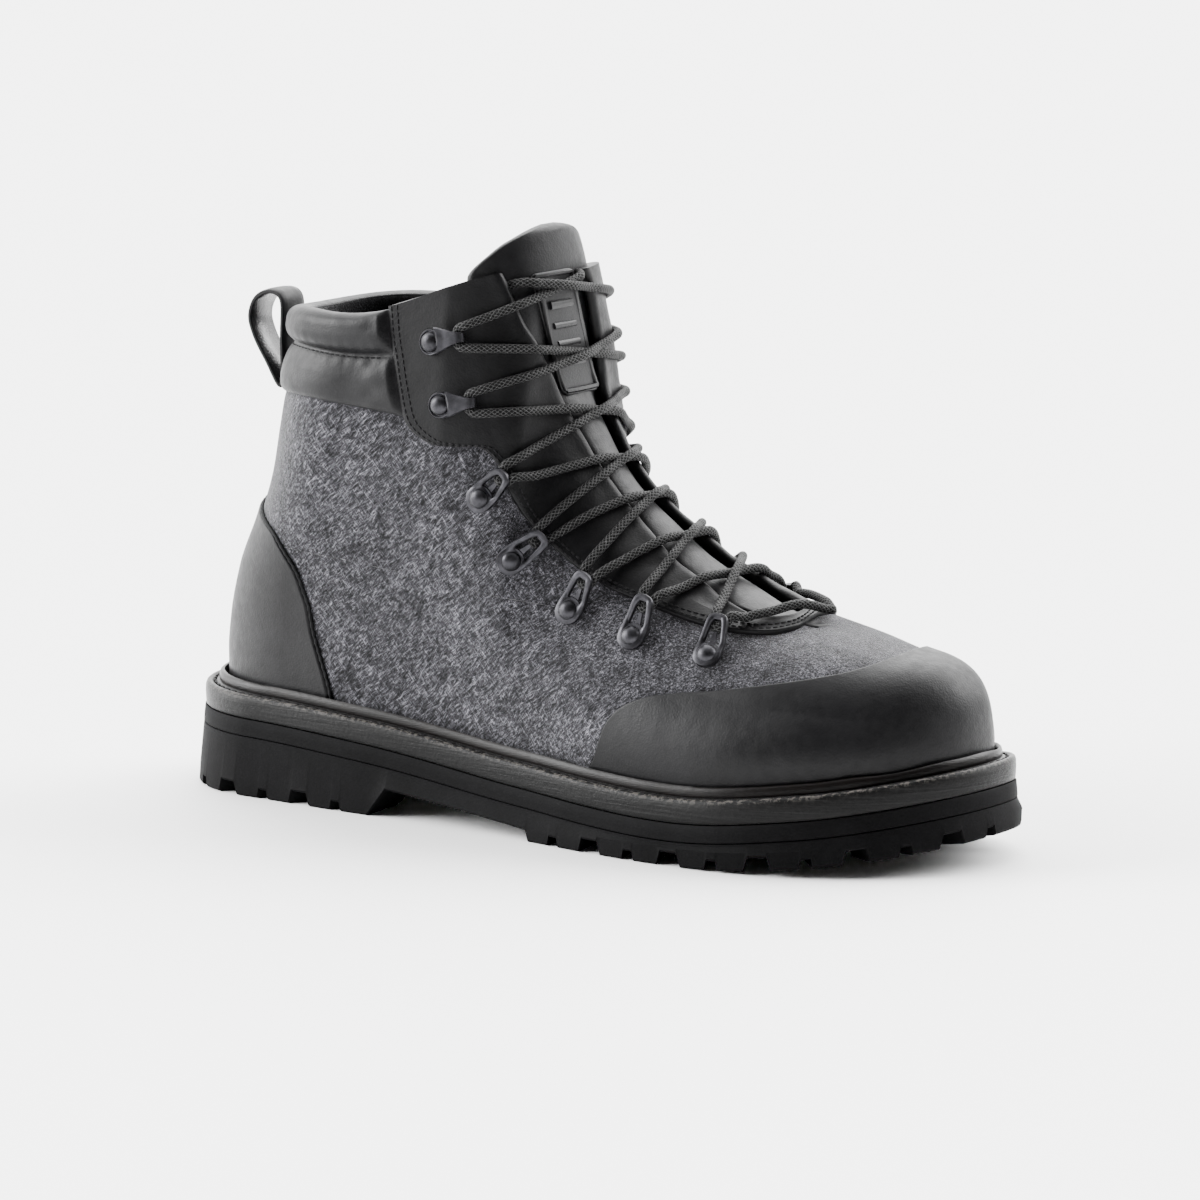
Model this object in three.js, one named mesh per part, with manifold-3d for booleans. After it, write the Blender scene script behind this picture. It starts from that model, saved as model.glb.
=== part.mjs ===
// A right ankle boot of felt and leather on a lugged rubber sole, in millimetres.
// x runs from the back of the sole to the toe, y to the inner side of the foot, z up from the floor.
import * as THREE from 'three';
import { mergeVertices } from 'three/addons/utils/BufferGeometryUtils.js';
import Module from 'manifold-3d';

const wasm = await Module();
wasm.setup();

// Overall sizes
const soleLength = 308;
const ballWidth = 107.5;
const ankleWidth = 78;
const heelDeck = 35.5;
const ballDeck = 22;
const toeDeck = 34;
const toeSpring = 10.4;
const shaftHeight = 131;
const facingHeight = 158;
const instepHeight = 79;
const toeHeight = 42;
const shaftSetback = 28.2;
const toeSwing = 7.5;

// The margin of the sole around the upper, and how round the upper is in plan and section
const featherMargin = 9.3;
const heelRound = 38.5;
const heelPower = 2.1;
const toeRound = 83;
const toePower = 2.15;
const calfBackRound = 38;
const sideBulge = 0.05;
const shaftPower = 2.25;
const vampPower = 2.6;
const collarDip = 7;

// Walls and clearances
const wall = 2.2;
const leather = 1.2;
const fit = 0.3;
const overlayOut = fit + leather;
const insoleFit = 2.3;
const collarFit = 0.7;
const curveFit = 0.8;

// Sole layers
const leatherLayer = 8;
const leatherMargin = 0.6;
const rubberLayer = 5.7;
const insoleThickness = 4;
const beadWidth = 2;
const beadHeight = 4.6;
const outsoleFlare = 0.9;
const outsoleBevel = 2;
const outsoleProud = 1.4;

// Tread
const lugPitch = 16;
const lugDepth = 4.6;
const wideGap = 9;
const narrowGap = 4.6;
const wideDepth = 4.4;
const narrowDepth = 3;
const lugReach = 17;
const channel = 4;
const heelLug = 13;
const heelGaps = 5;
const forepartLug = 11;
const gapFlare = 0.6;
const gapTaper = 0.7;
const barWidth = 7;
const heelBarPitch = 26;
const heelBarReach = 14.5;
const foreBarCount = 6;
const foreBarReach = 24;
const foreBarTaper = 3;
const foreBarTurn = 0.22;
const forepartBar = 20;
const barSwing = 0.6;
const cutClear = 2;
const heelBreast = 91;
const breastHeight = 9.6;
const breastSlope = 7.7;
const forepartStart = 160;
const archEndHeight = 3.7;
const archEndSlope = 1;

// Collar, tongue, patch and pull loop
const rollHeight = 3.3;
const lowerRollHeight = 1.6;
const tongueThickness = 4.5;
const tongueHalfWidth = 46;
const throatHalfGap = 29;
const patchHalfWidth = 8.5;
const patchShift = 10;
const patchThickness = 1.4;
const loopWidth = 13;
const loopThickness = 1.6;
const loopDepth = 15;

// Lace hardware
const rivetRadius = 4.2;
const rivetHeight = 2.6;
const shankRadius = 2.2;
const plateThickness = 1.6;
const plateWidth = 11;
const plateHole = 6.4;
const ringLift = 1.6;
const ringLength = 13.5;
const hookLength = 15;
const hookWidth = 9;
const hookHeight = 5.5;
const hookNeck = 4;
const hookBlade = 6;
const hookCorner = 1.5;
const hookWall = 2.4;
const hookBack = 1.1;
const hookBend = 0.6;
const holeRim = 0.8;
const holeTip = 2;
const holeTaper = 0.7;
const laceDiameter = 3.8;
const laceStep = 0.08;
const lacePairGap = 0.018;

// Where the boot stands: the middle of the heel is the origin
const heelContact = 40;

// Half widths of the sole, as shares of the ball width, at shares of the sole's length
const outline = [
  { along: 0, lateral: 0.353, medial: 0.363 },
  { along: 0.12, lateral: 0.367, medial: 0.377 },
  { along: 0.25, lateral: 0.395, medial: 0.363 },
  { along: 0.38, lateral: 0.414, medial: 0.335 },
  { along: 0.5, lateral: 0.451, medial: 0.34 },
  { along: 0.6, lateral: 0.498, medial: 0.391 },
  { along: 0.68, lateral: 0.521, medial: 0.442 },
  { along: 0.76, lateral: 0.526, medial: 0.474 },
  { along: 0.84, lateral: 0.516, medial: 0.484 },
  { along: 0.92, lateral: 0.498, medial: 0.484 },
  { along: 1, lateral: 0.484, medial: 0.474 },
];

// Height of the deck that the upper stands on: its rise from the ball to the heel and to the toe
const deckRise = [
  { along: 0, toHeel: 1, toToe: 0 },
  { along: 0.14, toHeel: 0.926, toToe: 0 },
  { along: 0.28, toHeel: 0.741, toToe: 0 },
  { along: 0.5, toHeel: 0.237, toToe: 0 },
  { along: 0.7, toHeel: 0, toToe: 0 },
  { along: 0.85, toHeel: 0, toToe: 0.333 },
  { along: 1, toHeel: 0, toToe: 1 },
];

// The ridge over the instep: height above the deck as a share of one named height,
// at shares of the upper's length
const ridgeLine = [
  { along: 0.378, of: facingHeight, height: 1.652 },
  { along: 0.433, of: facingHeight, height: 1.253 },
  { along: 0.4555, of: facingHeight, height: 1.087 },
  { along: 0.4635, of: facingHeight, height: 1 },
  { along: 0.467, of: facingHeight, height: 0.892 },
  { along: 0.475, of: facingHeight, height: 0.775 },
  { along: 0.504, of: facingHeight, height: 0.655 },
  { along: 0.547, of: instepHeight, height: 1.11 },
  { along: 0.5945, of: instepHeight, height: 0.983 },
  { along: 0.659, of: instepHeight, height: 0.835 },
  { along: 0.7212, of: instepHeight, height: 0.736 },
  { along: 0.7868, of: instepHeight, height: 0.651 },
  { along: 0.849, of: toeHeight, height: 1.073 },
  { along: 0.9043, of: toeHeight, height: 0.922 },
  { along: 0.9457, of: toeHeight, height: 0.819 },
  { along: 0.9699, of: toeHeight, height: 0.715 },
  { along: 0.9872, of: toeHeight, height: 0.565 },
  { along: 0.9976, of: toeHeight, height: 0.33 },
  { along: 1, of: toeHeight, height: 0.024 },
];

// The back of the upper: how far it stands forward, as a share of the shaft's setback
const backLine = [
  { height: 0, forward: 0 },
  { height: 0.073, forward: 0 },
  { height: 0.164, forward: 0.043 },
  { height: 0.302, forward: 0.216 },
  { height: 0.454, forward: 0.557 },
  { height: 0.584, forward: 0.787 },
  { height: 0.706, forward: 0.9 },
  { height: 0.76, forward: 0.945 },
  { height: 0.82, forward: 1.02 },
  { height: 0.874, forward: 1.085 },
  { height: 0.95, forward: 1.145 },
  { height: 1.027, forward: 1.18 },
  { height: 1.256, forward: 1.26 },
];

// Rings around the upper, from its bottom edge at level 0 to the collar at level 1:
// where each one meets the ridge, and its height at the back as a share of the shaft's height
const rings = [
  { level: 0, front: 1, back: 0 },
  { level: 0.06, front: 0.9976, back: 0.076 },
  { level: 0.13, front: 0.9838, back: 0.153 },
  { level: 0.2, front: 0.9665, back: 0.206 },
  { level: 0.27, front: 0.9423, back: 0.252 },
  { level: 0.33, front: 0.9008, back: 0.29 },
  { level: 0.4, front: 0.849, back: 0.344 },
  { level: 0.47, front: 0.7868, back: 0.397 },
  { level: 0.55, front: 0.7212, back: 0.458 },
  { level: 0.63, front: 0.659, back: 0.519 },
  { level: 0.72, front: 0.5945, back: 0.611 },
  { level: 0.78, front: 0.547, back: 0.687 },
  { level: 0.84, front: 0.504, back: 0.771 },
  { level: 0.9, front: 0.475, back: 0.855 },
  { level: 0.95, front: 0.467, back: 0.927 },
  { level: 1, front: 0.463, back: 1 },
  { level: 1.12, front: 0.4532, back: 1.115 },
];

// Edges of the overlays on the upper: around is 0 on the ridge and 1 at the back
const toeCapEdge = [
  { level: 0, around: 0.44 },
  { level: 0.09, around: 0.41 },
  { level: 0.205, around: 0.335 },
  { level: 0.255, around: 0.23 },
  { level: 0.28, around: 0.125 },
  { level: 0.315, around: 0.01 },
];
const counterEdge = [
  { level: 0, fromBack: 0.225 },
  { level: 0.17, fromBack: 0.207 },
  { level: 0.365, fromBack: 0.205 },
  { level: 0.495, fromBack: 0.18 },
  { level: 0.56, fromBack: 0.12 },
  { level: 0.6, fromBack: 0.01 },
];
const eyestayEdge = [
  { around: 0.478, level: 0.853 },
  { around: 0.44, level: 0.84 },
  { around: 0.394, level: 0.828 },
  { around: 0.306, level: 0.83 },
  { around: 0.284, level: 0.8 },
  { around: 0.277, level: 0.7 },
  { around: 0.262, level: 0.605 },
  { around: 0.245, level: 0.562 },
  { around: 0.2, level: 0.5 },
  { around: 0.16, level: 0.453 },
  { around: 0.115, level: 0.436 },
  { around: 0.06, level: 0.448 },
  { around: 0, level: 0.4665 },
];
const collarEdge = [
  { around: 1, level: 0.845 },
  { around: 0.89, level: 0.85 },
  { around: 0.595, level: 0.87 },
  { around: 0.485, level: 0.865 },
];
// The throat between the facings: half gaps as shares of the widest one
const throat = [
  { level: 0.495, lateral: 0.02, medial: 0.02 },
  { level: 0.502, lateral: 0.34, medial: 0.08 },
  { level: 0.53, lateral: 0.75, medial: 0.16 },
  { level: 0.605, lateral: 0.65, medial: 0.19 },
  { level: 0.68, lateral: 0.58, medial: 0.16 },
  { level: 0.735, lateral: 0.46, medial: 0.17 },
  { level: 0.79, lateral: 0.38, medial: 0.22 },
  { level: 0.846, lateral: 0.38, medial: 0.32 },
  { level: 0.88, lateral: 0.45, medial: 0.39 },
  { level: 0.913, lateral: 0.6, medial: 0.4 },
  { level: 0.953, lateral: 0.89, medial: 0.35 },
  { level: 1.0, lateral: 1.04, medial: 0.18 },
  { level: 1.11, lateral: 1.14, medial: 0.2 },
];
// The tongue's half width, as a share of its widest one
const tongueShape = [
  { level: 0.43, half: 0.24 },
  { level: 0.5, half: 0.44 },
  { level: 0.7, half: 0.54 },
  { level: 0.85, half: 0.7 },
  { level: 0.95, half: 0.92 },
  { level: 1.01, half: 1 },
  { level: 1.05, half: 0.88 },
  { level: 1.085, half: 0.62 },
  { level: 1.105, half: 0.25 },
];
// Bulge of the two padded rolls of the collar, as a share of each roll's height
const collarRolls = [
  { rise: 0, lower: 0.1, upper: 0 },
  { rise: 0.12, lower: 0.75, upper: 0 },
  { rise: 0.3, lower: 1, upper: 0 },
  { rise: 0.48, lower: 0.7, upper: 0 },
  { rise: 0.56, lower: 0.25, upper: 0.05 },
  { rise: 0.66, lower: 0, upper: 0.75 },
  { rise: 0.8, lower: 0, upper: 1 },
  { rise: 0.93, lower: 0, upper: 0.75 },
  { rise: 1, lower: 0, upper: 0.25 },
];

// The pull loop's outer line, going round it: back is a share of its depth, up of its height
const loopTop = 1.03;
const loopBottom = 0.77;
const loopSeat = 0.81;
const loopLine = [
  { back: 0, up: 0.08 },
  { back: 0, up: 0.5 },
  { back: 0, up: 0.9 },
  { back: 0.35, up: 1 },
  { back: 0.8, up: 0.92 },
  { back: 1, up: 0.72 },
  { back: 0.86, up: 0.5 },
  { back: 0.5, up: 0.24 },
  { back: 0.18, up: 0.02 },
];

// Lace rings and hooks: where the rivet sits and where the loop or hook ends
const laceRings = [
  { level: 0.754, around: 0.334, tipLevel: 0.8, tipAround: 0.254 },
  { level: 0.609, around: 0.37, tipLevel: 0.683, tipAround: 0.277 },
  { level: 0.46, around: 0.356, tipLevel: 0.571, tipAround: 0.263 },
  { level: 0.408, around: 0.299, tipLevel: 0.512, tipAround: 0.212 },
  { level: 0.368, around: 0.226, tipLevel: 0.45, tipAround: 0.159 },
];
const laceHooks = [
  { level: 0.949, around: 0.379, tipLevel: 0.946, tipAround: 0.296 },
  { level: 0.88, around: 0.361, tipLevel: 0.882, tipAround: 0.278 },
];

// Where the lace's ends are tucked in at the top of the throat
const laceTucks = {
  lateral: { level: 0.985, around: -0.165 },
  medial: { level: 0.985, around: 0.02 },
};

// Numbers of sections in the meshes
const columnsAround = 34;
const soleStations = 21;
const acrossBlock = 5;
const laceSides = 5;

const clamp = (value) => Math.min(1, Math.max(0, value));
const smooth = (value) => clamp(value) ** 2 * (3 - 2 * clamp(value));
const column = (rows, name) => rows.map((row) => row[name]);

// A smooth curve through a table's rows that never overshoots them
function curve(xs, ys) {
  const steps = xs.slice(1).map((x, i) => x - xs[i]);
  const slopes = steps.map((step, i) => (ys[i + 1] - ys[i]) / step);
  const tangents = ys.map((_, i) => {
    if (i === 0 || i === ys.length - 1) return slopes[i === 0 ? 0 : i - 1];
    const [before, after] = [slopes[i - 1], slopes[i]];
    if (before * after <= 0) return 0;
    const first = 2 * steps[i] + steps[i - 1];
    const second = steps[i] + 2 * steps[i - 1];
    return (first + second) / (first / before + second / after);
  });
  return (value) => {
    const x = Math.min(xs[xs.length - 1], Math.max(xs[0], value));
    let i = xs.findIndex((knot) => knot > x) - 1;
    if (i < 0) i = xs.length - 2;
    const s = (x - xs[i]) / steps[i];
    const near = (1 + 2 * s) * (1 - s) ** 2 * ys[i] + s ** 2 * (3 - 2 * s) * ys[i + 1];
    return near + steps[i] * (s * (1 - s) ** 2 * tangents[i] - s ** 2 * (1 - s) * tangents[i + 1]);
  };
}
const tableCurve = (rows, along, name) => curve(column(rows, along), column(rows, name));

// Plan of the sole and the heights along it
const lateralShare = tableCurve(outline, 'along', 'lateral');
const medialShare = tableCurve(outline, 'along', 'medial');
const toHeel = tableCurve(deckRise, 'along', 'toHeel');
const toToe = tableCurve(deckRise, 'along', 'toToe');
const deckHeight = (x) => {
  const along = x / soleLength;
  return ballDeck + toHeel(along) * (heelDeck - ballDeck) + toToe(along) * (toeDeck - ballDeck);
};
const springStart = 0.7;
const swingStart = 0.39 * soleLength;
const swingLength = 0.26 * soleLength;
const groundHeight = (x) => toeSpring * clamp((x / soleLength - springStart) / (1 - springStart)) ** 2;
const centreLine = (x) => toeSwing * smooth((x - swingStart) / swingLength);

// How a width closes at an end: 0 at the tip and 1 from the given depth on
const roundEnd = (distance, depth, power) => (1 - clamp(1 - distance / depth) ** power) ** (1 / power);

function halfWidths(x, margin) {
  const heel = roundEnd(x - margin, heelRound, heelPower);
  const toe = roundEnd(soleLength - margin - x, toeRound, toePower);
  const closed = heel * toe;
  const centre = centreLine(x);
  return {
    lateral: centre - (lateralShare(x / soleLength) * ballWidth - margin + centre) * closed,
    medial: centre + (medialShare(x / soleLength) * ballWidth - margin - centre) * closed,
  };
}

// The form of the upper
const lastLength = soleLength - 2 * featherMargin;
const lastX = (along) => featherMargin + along * lastLength;
const ridgeShare = curve(column(ridgeLine, 'along'), ridgeLine.map((row) => row.height * row.of));
const ridgeHeight = (x) => ridgeShare((x - featherMargin) / lastLength);
const backForward = tableCurve(backLine, 'height', 'forward');
const backX = (height) => featherMargin + shaftSetback * backForward(height / shaftHeight);
const ringFront = tableCurve(rings, 'level', 'front');
const ringBack = tableCurve(rings, 'level', 'back');
const shaftShare = 0.503;
const shaftBlendStart = 0.153 * shaftHeight;
const shaftBlendLength = 0.573 * shaftHeight;
const instepBlendStart = 0.487 * soleLength;
const instepBlendLength = 0.162 * soleLength;
const vampBlendStart = 0.698 * soleLength;
const vampBlendLength = 0.195 * soleLength;
const bulgeTop = 0.55;

// How far the upper stands out to one side at a place and a height above the deck
function sideReach(x, height, side) {
  const rise = clamp(height / Math.max(ridgeHeight(x), 0.001));
  const power = shaftPower + (vampPower - shaftPower) * smooth((x - vampBlendStart) / vampBlendLength);
  const arch = (1 - rise ** power) ** (1 / power);
  const centre = centreLine(x);
  const share = side < 0 ? lateralShare(x / soleLength) : medialShare(x / soleLength);
  const risen = smooth((height - shaftBlendStart) / shaftBlendLength);
  const shaft = risen * (1 - smooth((x - instepBlendStart) / instepBlendLength));
  const shaftHalf = ankleWidth * (side < 0 ? shaftShare : 1 - shaftShare);
  const half = (share * ballWidth - featherMargin) * (1 - shaft) + shaftHalf * shaft;
  const toe = roundEnd(soleLength - featherMargin - x, toeRound, toePower);
  const heel = roundEnd(x - backX(height + deckHeight(x) - heelDeck), calfBackRound, heelPower);
  const bulge = 1 + sideBulge * Math.sin(Math.PI * clamp(rise / bulgeTop));
  return centre + side * (half - side * centre) * toe * arch * heel * bulge;
}

// One ring of the upper from the ridge to the back on one side, with its running length
const ringSteps = 120;
const dipEnd = 0.95;
const dipLevel = 0.7;
function ringPath(level, side) {
  const front = lastX(ringFront(level));
  const backHeight = ringBack(level) * shaftHeight;
  const back = backX(backHeight);
  const frontHeight = ridgeHeight(front);
  const dip = collarDip * smooth((level - dipLevel) / (1 - dipLevel));
  const path = [];
  for (let i = 0; i <= ringSteps; i += 1) {
    const forward = (1 + Math.cos((Math.PI * i) / ringSteps)) / 2;
    const x = back + (front - back) * forward;
    const sag = dip * Math.sin(Math.PI * clamp(forward / dipEnd)) ** 2;
    const lean = heelDeck - deckHeight(back);
    const height = (backHeight + lean) * (1 - forward) + frontHeight * forward - sag;
    const atEnd = i === 0 || i === ringSteps;
    const y = atEnd ? centreLine(x) : sideReach(x, height, side);
    path.push(new THREE.Vector3(x, y, deckHeight(x) + fit + height));
  }
  const lengths = [0];
  path.slice(1).forEach((point, i) => lengths.push(lengths[i] + point.distanceTo(path[i])));
  return { path, lengths, total: lengths[ringSteps] };
}
const ringCache = new Map();
function ringAt(level, side) {
  const key = `${level.toFixed(5)} ${side}`;
  if (!ringCache.has(key)) ringCache.set(key, ringPath(level, side));
  return ringCache.get(key);
}

// A point of the upper's surface: around is 0 on the ridge, 1 at the back, negative on the outer side
function surfacePoint(level, around) {
  const turn = ((((around + 1) % 2) + 2) % 2) - 1;
  const ring = ringAt(level, turn < 0 ? -1 : 1);
  const wanted = Math.abs(turn) * ring.total;
  let i = ring.lengths.findIndex((length) => length > wanted) - 1;
  if (i < 0) i = ringSteps - 1;
  const share = (wanted - ring.lengths[i]) / (ring.lengths[i + 1] - ring.lengths[i]);
  return ring.path[i].clone().lerp(ring.path[i + 1], share);
}
const probe = 0.012;
function surfaceNormal(level, around) {
  const low = Math.max(level - probe, 0);
  const up = surfacePoint(level + probe, around).sub(surfacePoint(low, around));
  const on = surfacePoint(level, around + probe).sub(surfacePoint(level, around - probe));
  const normal = on.cross(up);
  if (level < probe) normal.z = 0;
  return normal.normalize();
}
function offsetPoint(level, around, out) {
  return surfacePoint(level, around).addScaledVector(surfaceNormal(level, around), out);
}
const ringHalfLength = (level, side) => ringAt(level, side).total;

// Solids from grids of points
function toSolid(points, triangles) {
  const mesh = new wasm.Mesh({
    numProp: 3,
    vertProperties: Float32Array.from(points.flatMap((point) => point.toArray())),
    triVerts: Uint32Array.from(triangles.flat()),
  });
  mesh.merge();
  return new wasm.Manifold(mesh);
}

// A solid between two grids of the same size; wrap joins each row's end to its start
function slabSolid(outer, inner, wrap) {
  const rows = outer.length;
  const cols = outer[0].length;
  const offset = rows * cols;
  const at = (i, j) => i * cols + (j % cols);
  const triangles = [];
  const quad = (a, b, c, d) => triangles.push([a, b, c], [a, c, d]);
  const steps = wrap ? cols : cols - 1;
  for (let j = 0; j < steps; j += 1) {
    for (let i = 0; i < rows - 1; i += 1) {
      quad(at(i, j), at(i, j + 1), at(i + 1, j + 1), at(i + 1, j));
      quad(offset + at(i, j), offset + at(i + 1, j), offset + at(i + 1, j + 1), offset + at(i, j + 1));
    }
    quad(at(0, j + 1), at(0, j), offset + at(0, j), offset + at(0, j + 1));
    quad(at(rows - 1, j), at(rows - 1, j + 1), offset + at(rows - 1, j + 1), offset + at(rows - 1, j));
  }
  if (!wrap) {
    for (let i = 0; i < rows - 1; i += 1) {
      quad(at(i, 0), at(i + 1, 0), offset + at(i + 1, 0), offset + at(i, 0));
      quad(at(i + 1, cols - 1), at(i, cols - 1), offset + at(i, cols - 1), offset + at(i + 1, cols - 1));
    }
  }
  return toSolid([...outer.flat(), ...inner.flat()], triangles);
}

const turns = Array.from({ length: columnsAround }, (_, j) => (2 * j) / columnsAround);
// A band of the upper's surface between two distances from it, all the way around
function band(levels, inside, outside) {
  const grid = (out) => levels.map((level) => turns.map((around) => {
    const distance = typeof out === 'function' ? out(level, around) : out;
    return offsetPoint(level, around, distance);
  }));
  return slabSolid(grid(outside), grid(inside), true);
}
// A block through the surface over a region: each row runs from one place to another
function block(rows, depth, across = acrossBlock) {
  const grid = (out) => rows.map((row) => Array.from({ length: across + 1 }, (_, j) => {
    const share = j / across;
    const level = row.level + (row.levelTo - row.level) * share;
    return offsetPoint(level, row.from + (row.to - row.from) * share, out);
  }));
  return slabSolid(grid(depth), grid(-depth), false);
}
const cutDepth = 12;
const spareLevel = 0.02;
const levelRow = (level, from, to) => ({ level, levelTo: level, from, to });

// Levels of the upper's own grid, and those of the pieces on it
const upperLevels = column(rings, 'level').filter((level) => level <= 1);
const levelsBetween = (low, high) => upperLevels.filter((level) => level > low && level < high);

function throatBlock() {
  const rows = throat.map((row) => {
    const lateral = (row.lateral * throatHalfGap) / ringHalfLength(row.level, -1);
    const medial = (row.medial * throatHalfGap) / ringHalfLength(row.level, 1);
    return levelRow(row.level, -lateral, medial);
  });
  return block(rows, cutDepth);
}

function makeUpper() {
  return band(upperLevels, -wall, 0).subtract(throatBlock());
}

function makeToeCap() {
  const top = toeCapEdge[toeCapEdge.length - 1].level;
  const levels = [...levelsBetween(-1, top), top + spareLevel];
  const rows = toeCapEdge.map((row) => levelRow(row.level, -row.around, row.around));
  const region = block(rows, cutDepth, 2 * acrossBlock);
  return band(levels, fit, overlayOut).intersect(region);
}

function makeCounter() {
  const top = counterEdge[counterEdge.length - 1].level;
  const levels = [...levelsBetween(-1, top), top + spareLevel];
  const rows = counterEdge.map((row) => levelRow(row.level, 1 - row.fromBack, 1 + row.fromBack));
  return band(levels, fit, overlayOut).intersect(block(rows, cutDepth));
}

function makeEyestay() {
  const bottom = Math.min(...column(eyestayEdge, 'level'));
  const levels = [bottom - spareLevel, ...levelsBetween(bottom, 1), 1];
  const levelTo = 1 + 2 * spareLevel;
  const upTo = ({ level, around }, side) => ({ level, levelTo, from: side * around, to: side * around });
  const lateral = eyestayEdge.map((row) => upTo(row, -1));
  const medial = eyestayEdge.slice(0, -1).reverse().map((row) => upTo(row, 1));
  const region = block([...lateral, ...medial].reverse(), cutDepth);
  return band(levels, fit, overlayOut).intersect(region).subtract(throatBlock());
}

const rollRise = column(collarRolls, 'rise');
const lowerRoll = curve(rollRise, column(collarRolls, 'lower'));
const upperRoll = curve(rollRise, column(collarRolls, 'upper'));
const collarLevel = curve(column(collarEdge, 'around').reverse(), column(collarEdge, 'level').reverse());
const collarFront = collarEdge[collarEdge.length - 1].around;
const rollFade = 0.06;
const rollAtEnd = 0.3;
function makeCollar() {
  const half = Math.floor(columnsAround / 4);
  const places = Array.from({ length: 2 * half + 1 }, (_, j) => collarFront + ((1 - collarFront) * j) / half);
  const outer = [];
  const inner = [];
  rollRise.forEach((rise) => {
    const row = (out) => places.map((around) => {
      const turn = 1 - Math.abs(around - 1);
      const level = collarLevel(turn) + (1 - collarLevel(turn)) * rise;
      const padded = smooth((turn - collarFront) / rollFade + rollAtEnd);
      const roll = lowerRoll(rise) * lowerRollHeight + upperRoll(rise) * rollHeight;
      return offsetPoint(level, around, out + (out > collarFit ? roll * padded : 0));
    });
    outer.push(row(collarFit + leather));
    inner.push(row(collarFit));
  });
  return slabSolid(outer, inner, false);
}

const tongueFoot = 0.42;
const tongueTopLevels = [1, 1.04, 1.08, 1.11];
function makeTongue() {
  const out = -wall - fit;
  const levels = [tongueFoot, ...levelsBetween(tongueFoot, 1), ...tongueTopLevels];
  const rows = tongueShape.map((row) => {
    const half = row.half * tongueHalfWidth;
    return levelRow(row.level, -half / ringHalfLength(row.level, -1), half / ringHalfLength(row.level, 1));
  });
  return band(levels, out - tongueThickness, out - fit).intersect(block(rows, cutDepth, 2 * acrossBlock));
}

const patchLow = 0.9;
const patchHigh = 0.985;
const patchCorner = 0.006;
const patchRows = [
  { level: patchLow, half: 0.6 },
  { level: patchLow + patchCorner, half: 1 },
  { level: patchHigh - patchCorner, half: 1 },
  { level: patchHigh, half: 0.6 },
];
function makePatch() {
  const out = -wall - fit;
  const low = patchLow - spareLevel;
  const levels = [low, ...levelsBetween(low, patchHigh), patchHigh + spareLevel];
  const rows = patchRows.map((row) => {
    const half = row.half * patchHalfWidth;
    const shift = patchShift * (row.level - patchLow) / (patchHigh - patchLow);
    const from = -(shift + half) / ringHalfLength(row.level, -1);
    return levelRow(row.level, from, (half - shift) / ringHalfLength(row.level, 1));
  });
  return band(levels, out, out + patchThickness).intersect(block(rows, cutDepth, 2));
}

// One closed line round the sole's plan, at a margin inside its edge and at a height for each x
function outlineLoop(margin, height) {
  const length = soleLength - 2 * margin;
  const point = (i, side) => {
    const x = margin + (length * (1 - Math.cos((Math.PI * i) / soleStations))) / 2;
    return new THREE.Vector3(x, halfWidths(x, margin)[side], height(x));
  };
  return [
    ...Array.from({ length: soleStations }, (_, i) => point(i, 'lateral')),
    ...Array.from({ length: soleStations }, (_, i) => point(soleStations - i, 'medial')),
  ];
}

// Sole pieces are stacked outlines, each with its margin and height
function soleSolid(layers) {
  const loop = layers.map(({ margin, height }) => outlineLoop(margin, height));
  const count = 2 * soleStations;
  const triangles = [];
  for (let i = 0; i < layers.length - 1; i += 1) {
    for (let j = 0; j < count; j += 1) {
      const [a, b] = [i * count + j, i * count + ((j + 1) % count)];
      triangles.push([a, b, b + count], [a, b + count, a + count]);
    }
  }
  const top = (layers.length - 1) * count;
  for (let i = 0; i < soleStations; i += 1) {
    const near = [i, i + 1];
    const far = [(count - i) % count, count - i - 1];
    triangles.push([near[0], far[1], near[1]], [top + near[0], top + near[1], top + far[1]]);
    if (i > 0) triangles.push([near[0], far[0], far[1]], [top + near[0], top + far[1], top + far[0]]);
  }
  return toSolid(loop.flat(), triangles.filter(([a, b, c]) => a !== b && b !== c && a !== c));
}
const leatherBottom = (x) => deckHeight(x) - leatherLayer;
const rubberBottom = (x) => leatherBottom(x) - fit - rubberLayer;
const outsoleTop = (x) => rubberBottom(x) - fit;

function makeLeatherMidsole() {
  const margin = leatherMargin;
  return soleSolid([{ margin, height: leatherBottom }, { margin, height: deckHeight }]);
}
function makeRubberMidsole() {
  const margin = outsoleFlare;
  return soleSolid([{ margin, height: rubberBottom }, { margin, height: (x) => leatherBottom(x) - fit }]);
}
function makeInsole() {
  const margin = featherMargin + wall + insoleFit;
  return soleSolid([
    { margin, height: (x) => deckHeight(x) + 2 * fit },
    { margin, height: (x) => deckHeight(x) + 2 * fit + insoleThickness },
  ]);
}

function extrudeSolid(points, depth, matrix) {
  const shape = new THREE.Shape(points.map(([x, y]) => new THREE.Vector2(x, y)));
  return geometrySolid(new THREE.ExtrudeGeometry(shape, { depth, bevelEnabled: false }), matrix);
}
function geometrySolid(geometry, matrix) {
  geometry.deleteAttribute('normal');
  geometry.deleteAttribute('uv');
  const merged = mergeVertices(geometry, 1e-4);
  if (matrix) merged.applyMatrix4(matrix);
  const mesh = new wasm.Mesh({
    numProp: 3,
    vertProperties: Float32Array.from(merged.attributes.position.array),
    triVerts: Uint32Array.from(merged.index.array),
  });
  return new wasm.Manifold(mesh);
}

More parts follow.
